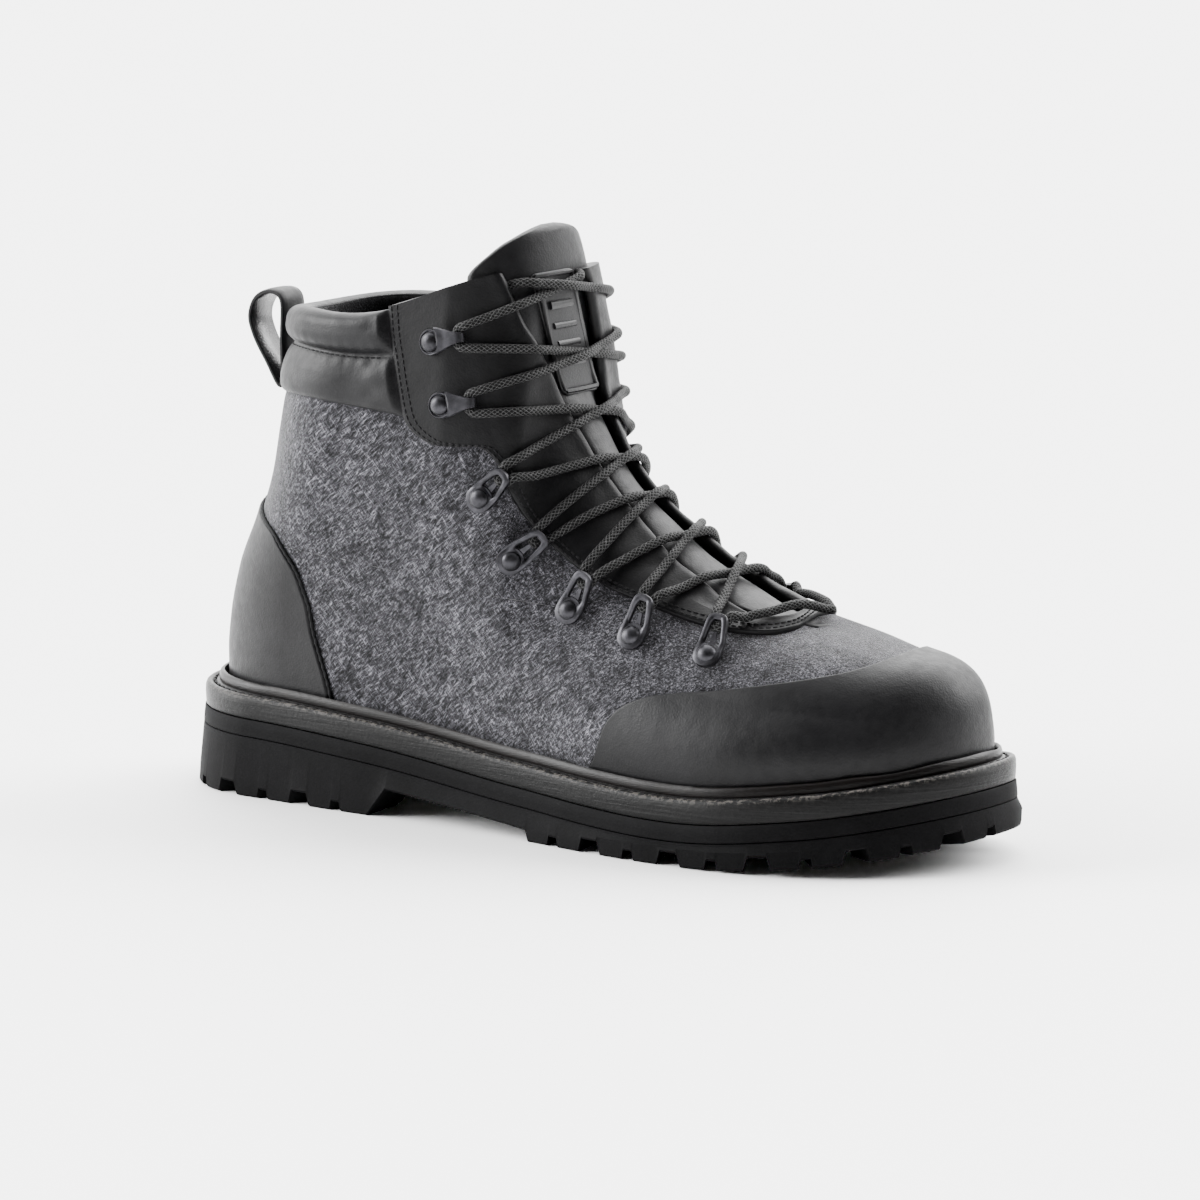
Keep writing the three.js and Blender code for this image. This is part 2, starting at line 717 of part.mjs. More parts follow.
// Places spaced evenly along the sole's edge, each with the direction into the sole
function edgePlaces(side) {
  const fine = 400;
  const points = Array.from({ length: fine + 1 }, (_, i) => {
    const x = (soleLength * (1 - Math.cos((Math.PI * i) / fine))) / 2;
    return new THREE.Vector2(x, halfWidths(x, 0)[side]);
  });
  let run = 0;
  return points.slice(1).map((point, i) => {
    run += point.distanceTo(points[i]);
    const along = point.clone().sub(points[i]).normalize();
    const sign = side === 'lateral' ? 1 : -1;
    return { point, run, inward: new THREE.Vector2(-along.y * sign, along.x * sign) };
  });
}
function gapCutter(place, width, depth) {
  const half = width / 2;
  const mouth = half + gapFlare;
  const roof = half * gapTaper;
  const profile = [[-mouth, -cutClear], [mouth, -cutClear], [roof, depth], [-roof, depth]];
  const into = new THREE.Vector3(place.inward.x, place.inward.y, 0);
  const upwards = new THREE.Vector3(0, 0, 1);
  const start = new THREE.Vector3(place.point.x, place.point.y, groundHeight(place.point.x));
  start.addScaledVector(into, -cutClear);
  const matrix = new THREE.Matrix4().makeBasis(upwards.clone().cross(into), upwards, into).setPosition(start);
  return extrudeSolid(profile, lugReach + cutClear, matrix);
}

// Gaps between the lugs all along the edge, wide and narrow in turn, with none under the arch
function edgeGaps(side) {
  const places = edgePlaces(side);
  const runAt = (x) => places.find((place) => place.point.x >= x).run;
  const cutters = [];
  const add = (run, wide) => {
    const place = places.find((candidate) => candidate.run >= run);
    if (place) cutters.push(gapCutter(place, wide ? wideGap : narrowGap, wide ? wideDepth : narrowDepth));
  };
  const heelStart = runAt(heelBreast - heelLug);
  for (let i = 0; i < heelGaps; i += 1) add(heelStart - i * lugPitch, i % 2 === 1);
  const foreStart = runAt(forepartStart + forepartLug);
  const foreCount = Math.floor((places[places.length - 1].run - foreStart) / lugPitch);
  for (let i = 0; i <= foreCount; i += 1) add(foreStart + i * lugPitch, i % 2 === 1);
  return cutters;
}

// The hollows inside the rim of lugs, with crossed bars left standing in them
function hollow(low, high, bars) {
  const margin = lugReach;
  const base = soleSolid([
    { margin, height: (x) => groundHeight(x) - cutClear },
    { margin, height: (x) => groundHeight(x) + lugDepth },
  ]);
  const tall = 2 * heelDeck;
  const limits = new THREE.BoxGeometry(high - low, 2 * ballWidth, tall);
  const middle = new THREE.Matrix4().makeTranslation((low + high) / 2, 0, 0);
  return bars.reduce((space, { x, y, reach, turn }) => {
    const bar = new THREE.BoxGeometry(barWidth, 2 * reach, tall);
    const matrix = new THREE.Matrix4().makeRotationZ(turn).setPosition(x, y, 0);
    return space.subtract(geometrySolid(bar, matrix));
  }, base.intersect(geometrySolid(limits, middle)));
}

function makeOutsole() {
  const body = soleSolid([
    { margin: outsoleFlare - outsoleProud, height: groundHeight },
    { margin: -outsoleProud, height: (x) => groundHeight(x) + outsoleBevel },
    { margin: outsoleFlare, height: outsoleTop },
  ]);
  const arch = [
    [heelBreast, -cutClear],
    [heelBreast + breastSlope, breastHeight],
    [forepartStart - archEndSlope, archEndHeight],
    [forepartStart, -cutClear],
  ];
  const upright = new THREE.Matrix4().makeRotationX(Math.PI / 2).setPosition(0, ballWidth, 0);
  const archSpace = extrudeSolid(arch, 2 * ballWidth, upright);
  const heelBar = (x) => ({ x, y: 0, reach: heelBarReach, turn: 0 });
  const heelBars = [heelBar(heelContact), heelBar(heelContact + heelBarPitch)];
  const foreBars = Array.from({ length: foreBarCount }, (_, i) => {
    const x = forepartStart + forepartBar + i * lugPitch;
    const reach = foreBarReach - Math.max(0, i - foreBarCount / 2) * foreBarTaper;
    return { x, y: centreLine(x) * barSwing, reach, turn: i % 2 ? foreBarTurn : -foreBarTurn };
  });
  const heelSpace = hollow(lugReach + cutClear, heelBreast - heelLug, heelBars);
  const foreSpace = hollow(forepartStart + forepartLug - cutClear, soleLength - lugReach - channel, foreBars);
  return [archSpace, heelSpace, foreSpace, ...edgeGaps('lateral'), ...edgeGaps('medial')]
    .reduce((solid, cutter) => solid.subtract(cutter), body);
}

// The bead that hides the joint between the upper and the deck
const beadSection = [
  { out: 0, up: 0 },
  { out: 1, up: 0 },
  { out: 1, up: 0.55 },
  { out: 0.65, up: 1 },
  { out: 0.22, up: 0.85 },
];
function makeBead() {
  const innerMargin = featherMargin - overlayOut - 2 * fit;
  const rows = beadSection.map(({ out, up }) => {
    const height = (x) => deckHeight(x) + fit + up * beadHeight;
    return outlineLoop(innerMargin - beadWidth * out, height);
  });
  const count = rows[0].length;
  const triangles = [];
  rows.forEach((_, i) => {
    const next = (i + 1) % rows.length;
    for (let j = 0; j < count; j += 1) {
      const k = (j + 1) % count;
      triangles.push([i * count + j, i * count + k, next * count + k]);
      triangles.push([i * count + j, next * count + k, next * count + j]);
    }
  });
  return toSolid(rows.flat(), triangles);
}

// The pull loop: a strap sewn to the back of the collar, bowed backwards
const loopSteps = 22;
function makePullLoop() {
  const seat = backX(loopSeat * shaftHeight) - collarFit - leather - lowerRollHeight - curveFit;
  const points = loopLine.map((row) => new THREE.Vector3(
    seat - row.back * loopDepth,
    0,
    heelDeck + (loopBottom + (loopTop - loopBottom) * row.up) * shaftHeight,
  ));
  const line = new THREE.CatmullRomCurve3(points, true, 'centripetal');
  const ring = (inset) => Array.from({ length: loopSteps }, (_, i) => {
    const along = line.getTangentAt(i / loopSteps);
    const inward = new THREE.Vector3(-along.z, 0, along.x);
    return line.getPointAt(i / loopSteps).addScaledVector(inward, inset);
  }).reverse();
  const edges = [-loopWidth / 2, loopWidth / 2];
  const strap = (inset) => edges.map((y) => ring(inset).map((point) => point.setY(y)));
  return slabSolid(strap(0), strap(loopThickness), true);
}

// A point on the flat facet of the upper under a place
function facetPoint(level, around) {
  const step = 2 / columnsAround;
  const before = Math.floor(around / step) * step;
  const share = (around - before) / step;
  const i = upperLevels.findIndex((knot) => knot > level);
  const [low, high] = [upperLevels[i - 1], upperLevels[i]];
  const across = (at) => surfacePoint(at, before).lerp(surfacePoint(at, before + step), share);
  return across(low).lerp(across(high), (level - low) / (high - low));
}
// How far the upper rises round a place above the place itself
function riseAround(level, around, normal) {
  const foot = facetPoint(level, around);
  const corners = [[-probe, -probe], [-probe, probe], [probe, -probe], [probe, probe]];
  return Math.max(0, ...corners.map(([up, on]) => facetPoint(level + up, around + on).sub(foot).dot(normal)));
}

// A frame on the surface: x towards the tip of the ring or hook, z away from the upper
function hardwareFrame(row, side, seat, lift, length) {
  const foot = facetPoint(row.level, side * row.around);
  const normal = surfaceNormal(row.level, side * row.around);
  const tip = surfacePoint(row.tipLevel, side * row.tipAround);
  const along = tip.sub(foot).normalize();
  const across = normal.clone().cross(along).normalize();
  const level = across.clone().cross(normal);
  const forward = level.multiplyScalar(length).addScaledVector(normal, lift).normalize();
  const up = forward.clone().cross(across);
  const base = foot.addScaledVector(normal, seat + riseAround(row.level, side * row.around, normal));
  return new THREE.Matrix4().makeBasis(forward, across, up).setPosition(base);
}
function rivet(shank) {
  const rim = plateThickness / 2;
  const profile = [
    [0, -shank], [shankRadius, -shank], [shankRadius, rim], [rivetRadius, rim],
    [rivetRadius * 0.8, plateThickness + rivetHeight * 0.7], [0, plateThickness + rivetHeight],
  ].map(([r, z]) => new THREE.Vector2(r, z));
  const geometry = new THREE.LatheGeometry(profile, 6);
  geometry.rotateX(Math.PI / 2);
  return geometrySolid(geometry);
}
function makeRing(seat) {
  const length = ringLength;
  const half = plateWidth / 2;
  const edge = [
    [-half, -half * 0.45], [-half * 0.45, -half], [half * 0.8, -half], [length, -half * 0.65],
    [length, half * 0.65], [half * 0.8, half], [-half * 0.45, half], [-half, half * 0.45],
  ];
  const shape = new THREE.Shape(edge.map(([x, y]) => new THREE.Vector2(x, y)));
  const holeStart = rivetRadius + holeRim;
  const holeEnd = length - holeTip;
  const holeHalf = plateHole / 2;
  const hole = [
    [holeStart, -holeHalf], [holeStart, holeHalf], [holeEnd, holeHalf * holeTaper],
    [holeEnd, -holeHalf * holeTaper],
  ];
  shape.holes.push(new THREE.Path(hole.map(([x, y]) => new THREE.Vector2(x, y))));
  const plate = new THREE.ExtrudeGeometry(shape, { depth: plateThickness, bevelEnabled: false });
  return geometrySolid(plate).add(rivet(seat - curveFit));
}
function makeHook() {
  const back = -rivetRadius * hookBack;
  const neck = hookLength - hookNeck;
  const blade = hookLength - hookBlade;
  const under = hookHeight - plateThickness;
  const profile = [
    [back, 0], [neck, 0], [hookLength, hookHeight * hookBend], [hookLength - hookCorner, hookHeight],
    [blade, hookHeight], [blade, under], [hookLength - hookWall, under],
    [neck - plateThickness / 2, plateThickness], [back, plateThickness],
  ];
  const turn = new THREE.Matrix4().makeRotationX(Math.PI / 2).setPosition(0, hookWidth / 2, 0);
  return extrudeSolid(profile, hookWidth, turn).add(rivet(curveFit - fit));
}

// A lace strand over the facings and the throat, from one side's hardware to the other's
const laceLift = 1.35;
const laceOut = overlayOut + curveFit + laceDiameter / 2 + laceLift;
function strand(from, to, outFrom = laceOut, outTo = laceOut) {
  const span = Math.abs(to.around - from.around);
  const steps = Math.max(5, Math.round(span / laceStep));
  const points = Array.from({ length: steps + 1 }, (_, i) => {
    const share = i / steps;
    const level = from.level + (to.level - from.level) * share;
    const around = from.around + (to.around - from.around) * share;
    return offsetPoint(level, around, outFrom + (outTo - outFrom) * share);
  });
  const radius = laceDiameter / 2;
  const section = new THREE.Shape(Array.from({ length: laceSides }, (_, i) => {
    const angle = (2 * Math.PI * i) / laceSides;
    return new THREE.Vector2(radius * Math.cos(angle), radius * Math.sin(angle));
  }));
  const path = new THREE.CatmullRomCurve3(points);
  return geometrySolid(new THREE.ExtrudeGeometry(section, { steps, extrudePath: path, bevelEnabled: false }));
}
// A strand ends just past the ring or hook, a little above or below its middle
const laceClear = 1.6;
function laceEnd(row, side, shift) {
  const length = laceHooks.includes(row) ? hookLength : ringLength;
  const foot = surfacePoint(row.level, side * row.around);
  const share = (length + laceClear) / foot.distanceTo(surfacePoint(row.tipLevel, side * row.tipAround));
  return {
    level: row.level + (row.tipLevel - row.level) * share + shift,
    around: side * (row.around + (row.tipAround - row.around) * share),
  };
}
function makeBar(row) {
  const out = laceOut - curveFit - fit;
  return strand(laceEnd(row, -1, -lacePairGap), laceEnd(row, 1, -lacePairGap), out, out);
}
function makeCrossing(low, high) {
  const one = strand(laceEnd(low, -1, lacePairGap), laceEnd(high, 1, -lacePairGap));
  const other = strand(laceEnd(low, 1, lacePairGap), laceEnd(high, -1, -lacePairGap));
  return one.add(other);
}
function makeTopCrossing(hook) {
  const tuckOut = fit + laceDiameter / 2;
  const one = strand(laceEnd(hook, -1, lacePairGap), laceTucks.medial, laceOut, tuckOut);
  const other = strand(laceEnd(hook, 1, lacePairGap), laceTucks.lateral, laceOut, tuckOut);
  return one.add(other);
}

// Materials
function finish(color, roughness, metalness = 0) {
  return new THREE.MeshStandardMaterial({ color, roughness, metalness });
}
const finishes = {
  rubber: () => finish(0x1f1f20, 0.85),
  edgedLeather: () => finish(0x4a4a4d, 0.55),
  darkLeather: () => finish(0x3a3b3d, 0.6),
  beadLeather: () => finish(0x2a2422, 0.5),
  felt: () => finish(0x66666c, 0.95),
  lining: () => finish(0x3c3c40, 0.95),
  metal: () => finish(0x4c4c4a, 0.35, 1),
  cord: () => finish(0x2b2b2c, 0.9),
};

// The assembly
const boot = new THREE.Group();
boot.position.x = -heelContact;
function place(name, solid, material, matrix) {
  const { vertProperties, triVerts } = solid.getMesh();
  const geometry = new THREE.BufferGeometry();
  geometry.setAttribute('position', new THREE.BufferAttribute(Float32Array.from(vertProperties), 3));
  geometry.setIndex(new THREE.BufferAttribute(Uint32Array.from(triVerts), 1));
  geometry.computeVertexNormals();
  const mesh = new THREE.Mesh(geometry, material);
  mesh.name = name;
  if (matrix) mesh.applyMatrix4(matrix);
  boot.add(mesh);
}
place('outsole', makeOutsole(), finishes.rubber());
place('rubber_midsole', makeRubberMidsole(), finishes.rubber());
place('leather_midsole', makeLeatherMidsole(), finishes.edgedLeather());
place('welt_bead', makeBead(), finishes.beadLeather());
place('insole', makeInsole(), finishes.lining());
place('upper', makeUpper(), finishes.felt());
place('toe_cap', makeToeCap(), finishes.darkLeather());
place('heel_counter', makeCounter(), finishes.darkLeather());
place('collar', makeCollar(), finishes.darkLeather());
place('eyestay', makeEyestay(), finishes.darkLeather());
place('tongue', makeTongue(), finishes.darkLeather());
place('tongue_patch', makePatch(), finishes.rubber());
place('pull_loop', makePullLoop(), finishes.darkLeather());
const sides = [['lateral', -1], ['medial', 1]];
sides.forEach(([sideName, side]) => {
  laceRings.forEach((row, i) => {
    const seat = overlayOut + curveFit + fit;
    const matrix = hardwareFrame(row, side, seat, ringLift, ringLength);
    place(`lace_ring_${sideName}_${i + 1}`, makeRing(seat), finishes.metal(), matrix);
  });
  laceHooks.forEach((row, i) => {
    const seat = overlayOut + curveFit;
    const matrix = hardwareFrame(row, side, seat, fit, hookLength);
    place(`lace_hook_${sideName}_${i + 1}`, makeHook(), finishes.metal(), matrix);
  });
});
const hardwareUpwards = [...laceRings].reverse().concat([...laceHooks].reverse());
place('lace_bar', makeBar(hardwareUpwards[0]), finishes.cord());
hardwareUpwards.slice(1).forEach((row, i) => {
  place(`lace_cross_${i + 1}`, makeCrossing(hardwareUpwards[i], row), finishes.cord());
});
place('lace_top', makeTopCrossing(laceHooks[0]), finishes.cord());

export default boot;
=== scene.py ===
# The looks of a right ankle boot of felt and leather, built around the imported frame.
import math

import bpy
import numpy as np
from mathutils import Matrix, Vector


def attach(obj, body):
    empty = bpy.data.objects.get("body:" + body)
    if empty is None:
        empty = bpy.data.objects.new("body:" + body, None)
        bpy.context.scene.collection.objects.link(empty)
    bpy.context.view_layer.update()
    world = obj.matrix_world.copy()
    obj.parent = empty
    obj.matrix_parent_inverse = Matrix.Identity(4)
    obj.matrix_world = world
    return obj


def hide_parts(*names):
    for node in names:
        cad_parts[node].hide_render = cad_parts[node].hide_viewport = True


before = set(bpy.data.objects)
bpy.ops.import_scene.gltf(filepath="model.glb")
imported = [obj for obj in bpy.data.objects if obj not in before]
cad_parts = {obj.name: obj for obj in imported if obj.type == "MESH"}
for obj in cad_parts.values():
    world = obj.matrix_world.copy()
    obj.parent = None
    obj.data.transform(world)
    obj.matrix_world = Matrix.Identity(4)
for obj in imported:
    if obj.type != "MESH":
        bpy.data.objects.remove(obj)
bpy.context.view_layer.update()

# Overall sizes in millimetres, as in the part's source: x from the back of the sole, z from the floor
SOLE_LENGTH = 308.0
BALL_WIDTH = 107.5
ANKLE_WIDTH = 78.0
HEEL_DECK = 35.5
BALL_DECK = 22.0
TOE_DECK = 34.0
TOE_SPRING = 10.4
SHAFT_HEIGHT = 131.0
FACING_HEIGHT = 158.0
INSTEP_HEIGHT = 79.0
TOE_HEIGHT = 42.0
SHAFT_SETBACK = 28.2
TOE_SWING = 7.5
HEEL_CONTACT = 40.0

# How round the upper is, its margin inside the sole, its wall and its leather
FEATHER_MARGIN = 9.3
HEEL_ROUND = 38.5
HEEL_POWER = 2.1
TOE_ROUND = 83.0
TOE_POWER = 2.15
CALF_ROUND = 38.0
SIDE_BULGE = 0.05
SHAFT_POWER = 2.25
VAMP_POWER = 2.6
COLLAR_DIP = 7.0
WALL = 2.2
LEATHER = 1.4
FIT = 0.3

# Sole layers and tread
LEATHER_LAYER = 8.0
RUBBER_LAYER = 5.7
SOLE_PROUD = 1.4
STRIP_MARGIN = 0.8
LUG_PITCH = 16.0
LUG_REACH = 17.0
LUG_DEPTH = 4.6
WIDE_GAP = 9.0
NARROW_GAP = 4.6
WIDE_DEPTH = 4.4
NARROW_DEPTH = 3.0
GAP_TAPER = 0.7
HEEL_BREAST = 91.0
BREAST_HEIGHT = 9.6
BREAST_SLOPE = 7.7
FOREPART_START = 160.0
ARCH_END_HEIGHT = 3.7
HEEL_LUG = 13.0
FOREPART_LUG = 11.0

LACE_DIAMETER = 3.15

# Half widths of the sole as shares of the ball width, at shares of its length: lateral, medial
OUTLINE = [
    (0, 0.353, 0.363), (0.12, 0.367, 0.377), (0.25, 0.395, 0.363), (0.38, 0.414, 0.335),
    (0.5, 0.451, 0.34), (0.6, 0.498, 0.391), (0.68, 0.521, 0.442), (0.76, 0.526, 0.474),
    (0.84, 0.516, 0.484), (0.92, 0.498, 0.484), (1, 0.484, 0.474),
]
# Rise of the deck from the ball: along, towards the heel, towards the toe
DECK_RISE = [
    (0, 1, 0), (0.14, 0.926, 0), (0.28, 0.741, 0), (0.5, 0.237, 0), (0.7, 0, 0),
    (0.85, 0, 0.333), (1, 0, 1),
]
# The ridge over the instep: along, the height it follows, its share of that height
RIDGE = [
    (0.378, FACING_HEIGHT, 1.652), (0.433, FACING_HEIGHT, 1.253), (0.4555, FACING_HEIGHT, 1.087),
    (0.4635, FACING_HEIGHT, 1), (0.467, FACING_HEIGHT, 0.892), (0.475, FACING_HEIGHT, 0.775),
    (0.504, FACING_HEIGHT, 0.655), (0.547, INSTEP_HEIGHT, 1.11), (0.5945, INSTEP_HEIGHT, 0.983),
    (0.659, INSTEP_HEIGHT, 0.835), (0.7212, INSTEP_HEIGHT, 0.736), (0.7868, INSTEP_HEIGHT, 0.651),
    (0.849, TOE_HEIGHT, 1.073), (0.9043, TOE_HEIGHT, 0.922), (0.9457, TOE_HEIGHT, 0.819),
    (0.9699, TOE_HEIGHT, 0.715), (0.9872, TOE_HEIGHT, 0.565), (0.9976, TOE_HEIGHT, 0.33),
    (1, TOE_HEIGHT, 0.024),
]
# The back of the upper: share of the shaft's height, share of its setback
BACK = [
    (0, 0), (0.073, 0), (0.164, 0.043), (0.302, 0.216), (0.454, 0.557), (0.584, 0.787),
    (0.706, 0.9), (0.76, 0.945), (0.82, 1.02), (0.874, 1.085), (0.95, 1.145), (1.027, 1.18),
    (1.256, 1.26),
]
# Rings round the upper: level, where it meets the ridge, its height at the back
RINGS = [
    (0, 1, 0), (0.06, 0.9976, 0.076), (0.13, 0.9838, 0.153), (0.2, 0.9665, 0.206),
    (0.27, 0.9423, 0.252), (0.33, 0.9008, 0.29), (0.4, 0.849, 0.344), (0.47, 0.7868, 0.397),
    (0.55, 0.7212, 0.458), (0.63, 0.659, 0.519), (0.72, 0.5945, 0.611), (0.78, 0.547, 0.687),
    (0.84, 0.504, 0.771), (0.9, 0.475, 0.855), (0.95, 0.467, 0.927), (1, 0.463, 1),
    (1.12, 0.4532, 1.115),
]


def column(rows, index):
    return np.array([row[index] for row in rows], float)


def smooth(value):
    value = np.clip(value, 0, 1)
    return value * value * (3 - 2 * value)


def curve(xs, ys):
    """A smooth curve through points that never overshoots them."""
    xs, ys = np.asarray(xs, float), np.asarray(ys, float)
    steps = np.diff(xs)
    slopes = np.diff(ys) / steps
    tangents = np.zeros(len(ys))
    tangents[0], tangents[-1] = slopes[0], slopes[-1]
    for i in range(1, len(ys) - 1):
        before, after = slopes[i - 1], slopes[i]
        if before * after > 0:
            first = 2 * steps[i] + steps[i - 1]
            second = steps[i] + 2 * steps[i - 1]
            tangents[i] = (first + second) / (first / before + second / after)

    def at(value):
        x = np.clip(value, xs[0], xs[-1])
        i = np.clip(np.searchsorted(xs, x, side="right") - 1, 0, len(steps) - 1)
        s = (x - xs[i]) / steps[i]
        near = (1 + 2 * s) * (1 - s) ** 2 * ys[i] + s ** 2 * (3 - 2 * s) * ys[i + 1]
        return near + steps[i] * (s * (1 - s) ** 2 * tangents[i] - s ** 2 * (1 - s) * tangents[i + 1])

    return at


def table_curve(rows, index, along=0):
    return curve(column(rows, along), column(rows, index))


# The form that the sole and the upper share with the part's source
lateral_share = table_curve(OUTLINE, 1)
medial_share = table_curve(OUTLINE, 2)
to_heel = table_curve(DECK_RISE, 1)
to_toe = table_curve(DECK_RISE, 2)
back_forward = table_curve(BACK, 1)
ring_front = table_curve(RINGS, 1)
ring_back = table_curve(RINGS, 2)
ridge_share = curve(column(RIDGE, 0), column(RIDGE, 1) * column(RIDGE, 2))
LAST_LENGTH = SOLE_LENGTH - 2 * FEATHER_MARGIN
SPRING_START = 0.7


def deck_height(x):
    along = np.asarray(x, float) / SOLE_LENGTH
    return BALL_DECK + to_heel(along) * (HEEL_DECK - BALL_DECK) + to_toe(along) * (TOE_DECK - BALL_DECK)


def ground_height(x):
    rise = np.clip((np.asarray(x, float) / SOLE_LENGTH - SPRING_START) / (1 - SPRING_START), 0, 1.1)
    return TOE_SPRING * rise ** 2


def centre_line(x):
    return TOE_SWING * smooth((np.asarray(x, float) - 0.39 * SOLE_LENGTH) / (0.26 * SOLE_LENGTH))


def round_end(distance, depth, power):
    return (1 - np.clip(1 - distance / depth, 0, 1) ** power) ** (1 / power)


def side_share(x, side):
    return (lateral_share if side < 0 else medial_share)(x / SOLE_LENGTH)


def half_width(x, margin, side):
    """The sole's edge at x, this far inside it; side is -1 outside the foot and 1 inside."""
    closed = round_end(x - margin, HEEL_ROUND, HEEL_POWER)
    closed = closed * round_end(SOLE_LENGTH - margin - x, TOE_ROUND, TOE_POWER)
    centre = centre_line(x)
    return centre + side * (side_share(x, side) * BALL_WIDTH - margin - side * centre) * closed


def ridge_height(x):
    return ridge_share((np.asarray(x, float) - FEATHER_MARGIN) / LAST_LENGTH)


def back_x(height):
    return FEATHER_MARGIN + SHAFT_SETBACK * back_forward(np.asarray(height, float) / SHAFT_HEIGHT)


def side_reach(x, height, side):
    """How far the upper stands out to one side, at a place and a height above the deck."""
    rise = np.clip(height / np.maximum(ridge_height(x), 0.001), 0, 1)
    vamp = smooth((x - 0.698 * SOLE_LENGTH) / (0.195 * SOLE_LENGTH))
    power = SHAFT_POWER + (VAMP_POWER - SHAFT_POWER) * vamp
    arch = (1 - rise ** power) ** (1 / power)
    centre = centre_line(x)
    risen = smooth((height - 0.153 * SHAFT_HEIGHT) / (0.573 * SHAFT_HEIGHT))
    shaft = risen * (1 - smooth((x - 0.487 * SOLE_LENGTH) / (0.162 * SOLE_LENGTH)))
    shaft_half = ANKLE_WIDTH * (0.503 if side < 0 else 0.497)
    half = (side_share(x, side) * BALL_WIDTH - FEATHER_MARGIN) * (1 - shaft) + shaft_half * shaft
    toe = round_end(SOLE_LENGTH - FEATHER_MARGIN - x, TOE_ROUND, TOE_POWER)
    heel = round_end(x - back_x(height + deck_height(x) - HEEL_DECK), CALF_ROUND, HEEL_POWER)
    bulge = 1 + SIDE_BULGE * np.sin(np.pi * np.clip(rise / 0.55, 0, 1))
    return centre + side * (half - side * centre) * toe * arch * heel * bulge


def ring_path(level, side, steps=240):
    front = FEATHER_MARGIN + ring_front(level) * LAST_LENGTH
    back_height = ring_back(level) * SHAFT_HEIGHT
    back = back_x(back_height)
    dip = COLLAR_DIP * smooth((level - 0.7) / 0.3)
    forward = (1 + np.cos(np.pi * np.arange(steps + 1) / steps)) / 2
    x = back + (front - back) * forward
    sag = dip * np.sin(np.pi * np.clip(forward / 0.95, 0, 1)) ** 2
    lean = HEEL_DECK - deck_height(back)
    height = (back_height + lean) * (1 - forward) + ridge_height(front) * forward - sag
    y = side_reach(x, height, side)
    y[0], y[-1] = centre_line(x[0]), centre_line(x[-1])
    return np.stack([x, y, deck_height(x) + FIT + height], axis=1)


# A fine table of the upper's surface: rows are levels, columns run round it from back to back
LEVELS = np.linspace(0, 1.12, 225)
COLUMNS = 960


def surface_table():
    """The surface's points, and each level's half lengths, lateral and medial."""
    share = np.linspace(0, 1, COLUMNS // 2 + 1)
    rows, halves = [], []
    for level in LEVELS:
        parts, lengths = [], []
        for side in (-1, 1):
            path = ring_path(level, side)
            run = np.r_[0, np.cumsum(np.linalg.norm(np.diff(path, axis=0), axis=1))]
            lengths.append(run[-1])
            parts.append(np.stack([np.interp(share * run[-1], run, path[:, k]) for k in range(3)], 1))
        rows.append(np.concatenate([parts[0][:0:-1], parts[1][:-1]]))
        halves.append(lengths)
    return np.array(rows), np.array(halves)


SURFACE, HALF_LENGTHS = surface_table()


def normal_table():
    """The outward direction at each point of the surface's table."""
    on = np.roll(SURFACE, -3, axis=1) - np.roll(SURFACE, 3, axis=1)
    up = np.gradient(SURFACE, axis=0)
    up[1:-1] = SURFACE[2:] - SURFACE[:-2]
    normal = np.cross(on, up)
    normal[0, :, 2] = 0
    return normal / np.linalg.norm(normal, axis=2, keepdims=True)


NORMALS = normal_table()


def look_up(table, level, around):
    """Values of a table between its rows and columns; around wraps at the back."""
    level, around = np.broadcast_arrays(np.asarray(level, float), np.asarray(around, float))
    row = np.clip(level / LEVELS[-1] * (len(LEVELS) - 1), 0, len(LEVELS) - 1.001)
    col = ((around + 1) % 2) / 2 * COLUMNS
    i, j = row.astype(int), col.astype(int) % COLUMNS
    s, t = (row - i)[..., None], (col - np.floor(col))[..., None]
    k = (j + 1) % COLUMNS
    low = table[i, j] * (1 - t) + table[i, k] * t
    high = table[i + 1, j] * (1 - t) + table[i + 1, k] * t
    return low * (1 - s) + high * s


def surface(level, around, out=0.0):
    """Points at a distance outside the upper; around is 0 on the ridge and 1 at the back."""
    normal = look_up(NORMALS, level, around)
    normal = normal / np.linalg.norm(normal, axis=-1, keepdims=True)
    return look_up(SURFACE, level, around) + normal * np.asarray(out, float)[..., None]


def normal_at(level, around):
    normal = look_up(NORMALS, level, around)
    return normal / np.linalg.norm(normal, axis=-1, keepdims=True)


def half_length(level, side):
    return np.interp(level, LEVELS, HALF_LENGTHS[:, 0 if side < 0 else 1])


def around_of(distance, level):
    """A distance in millimetres from the ridge as a share of the ring, with its sign as the side."""
    distance = np.asarray(distance, float)
    lateral, medial = half_length(level, -1), half_length(level, 1)
    return distance / np.where(distance < 0, lateral, medial)


# Meshes
def add_mesh(name, points, faces, material, smooth_angle=None):
    """A mesh object from points in millimetres and faces of point numbers."""
    points = np.asarray(points, float).reshape(-1, 3)
    world = (points - (HEEL_CONTACT, 0, 0)) / 1000
    mesh = bpy.data.meshes.new(name)
    mesh.from_pydata(world.tolist(), [], [list(map(int, face)) for face in faces])
    mesh.validate()
    mesh.update()
    mesh.shade_smooth()
    if smooth_angle is not None:
        mesh.set_sharp_from_angle(angle=math.radians(smooth_angle))
    mesh.materials.append(material)
    piece = bpy.data.objects.new(name, mesh)
    bpy.context.scene.collection.objects.link(piece)
    return piece


def grid_faces(rows, cols, start=0, wrap=False, close=False):
    """Quads of a grid; wrap joins each row's end to its start, and close the last row to the first."""
    faces = []
    for i in range(rows if close else rows - 1):
        for j in range(cols if wrap else cols - 1):
            a, b = i * cols + j, i * cols + (j + 1) % cols
            c, d = ((i + 1) % rows) * cols + (j + 1) % cols, ((i + 1) % rows) * cols + j
            faces.append((start + a, start + b, start + c, start + d))
    return faces


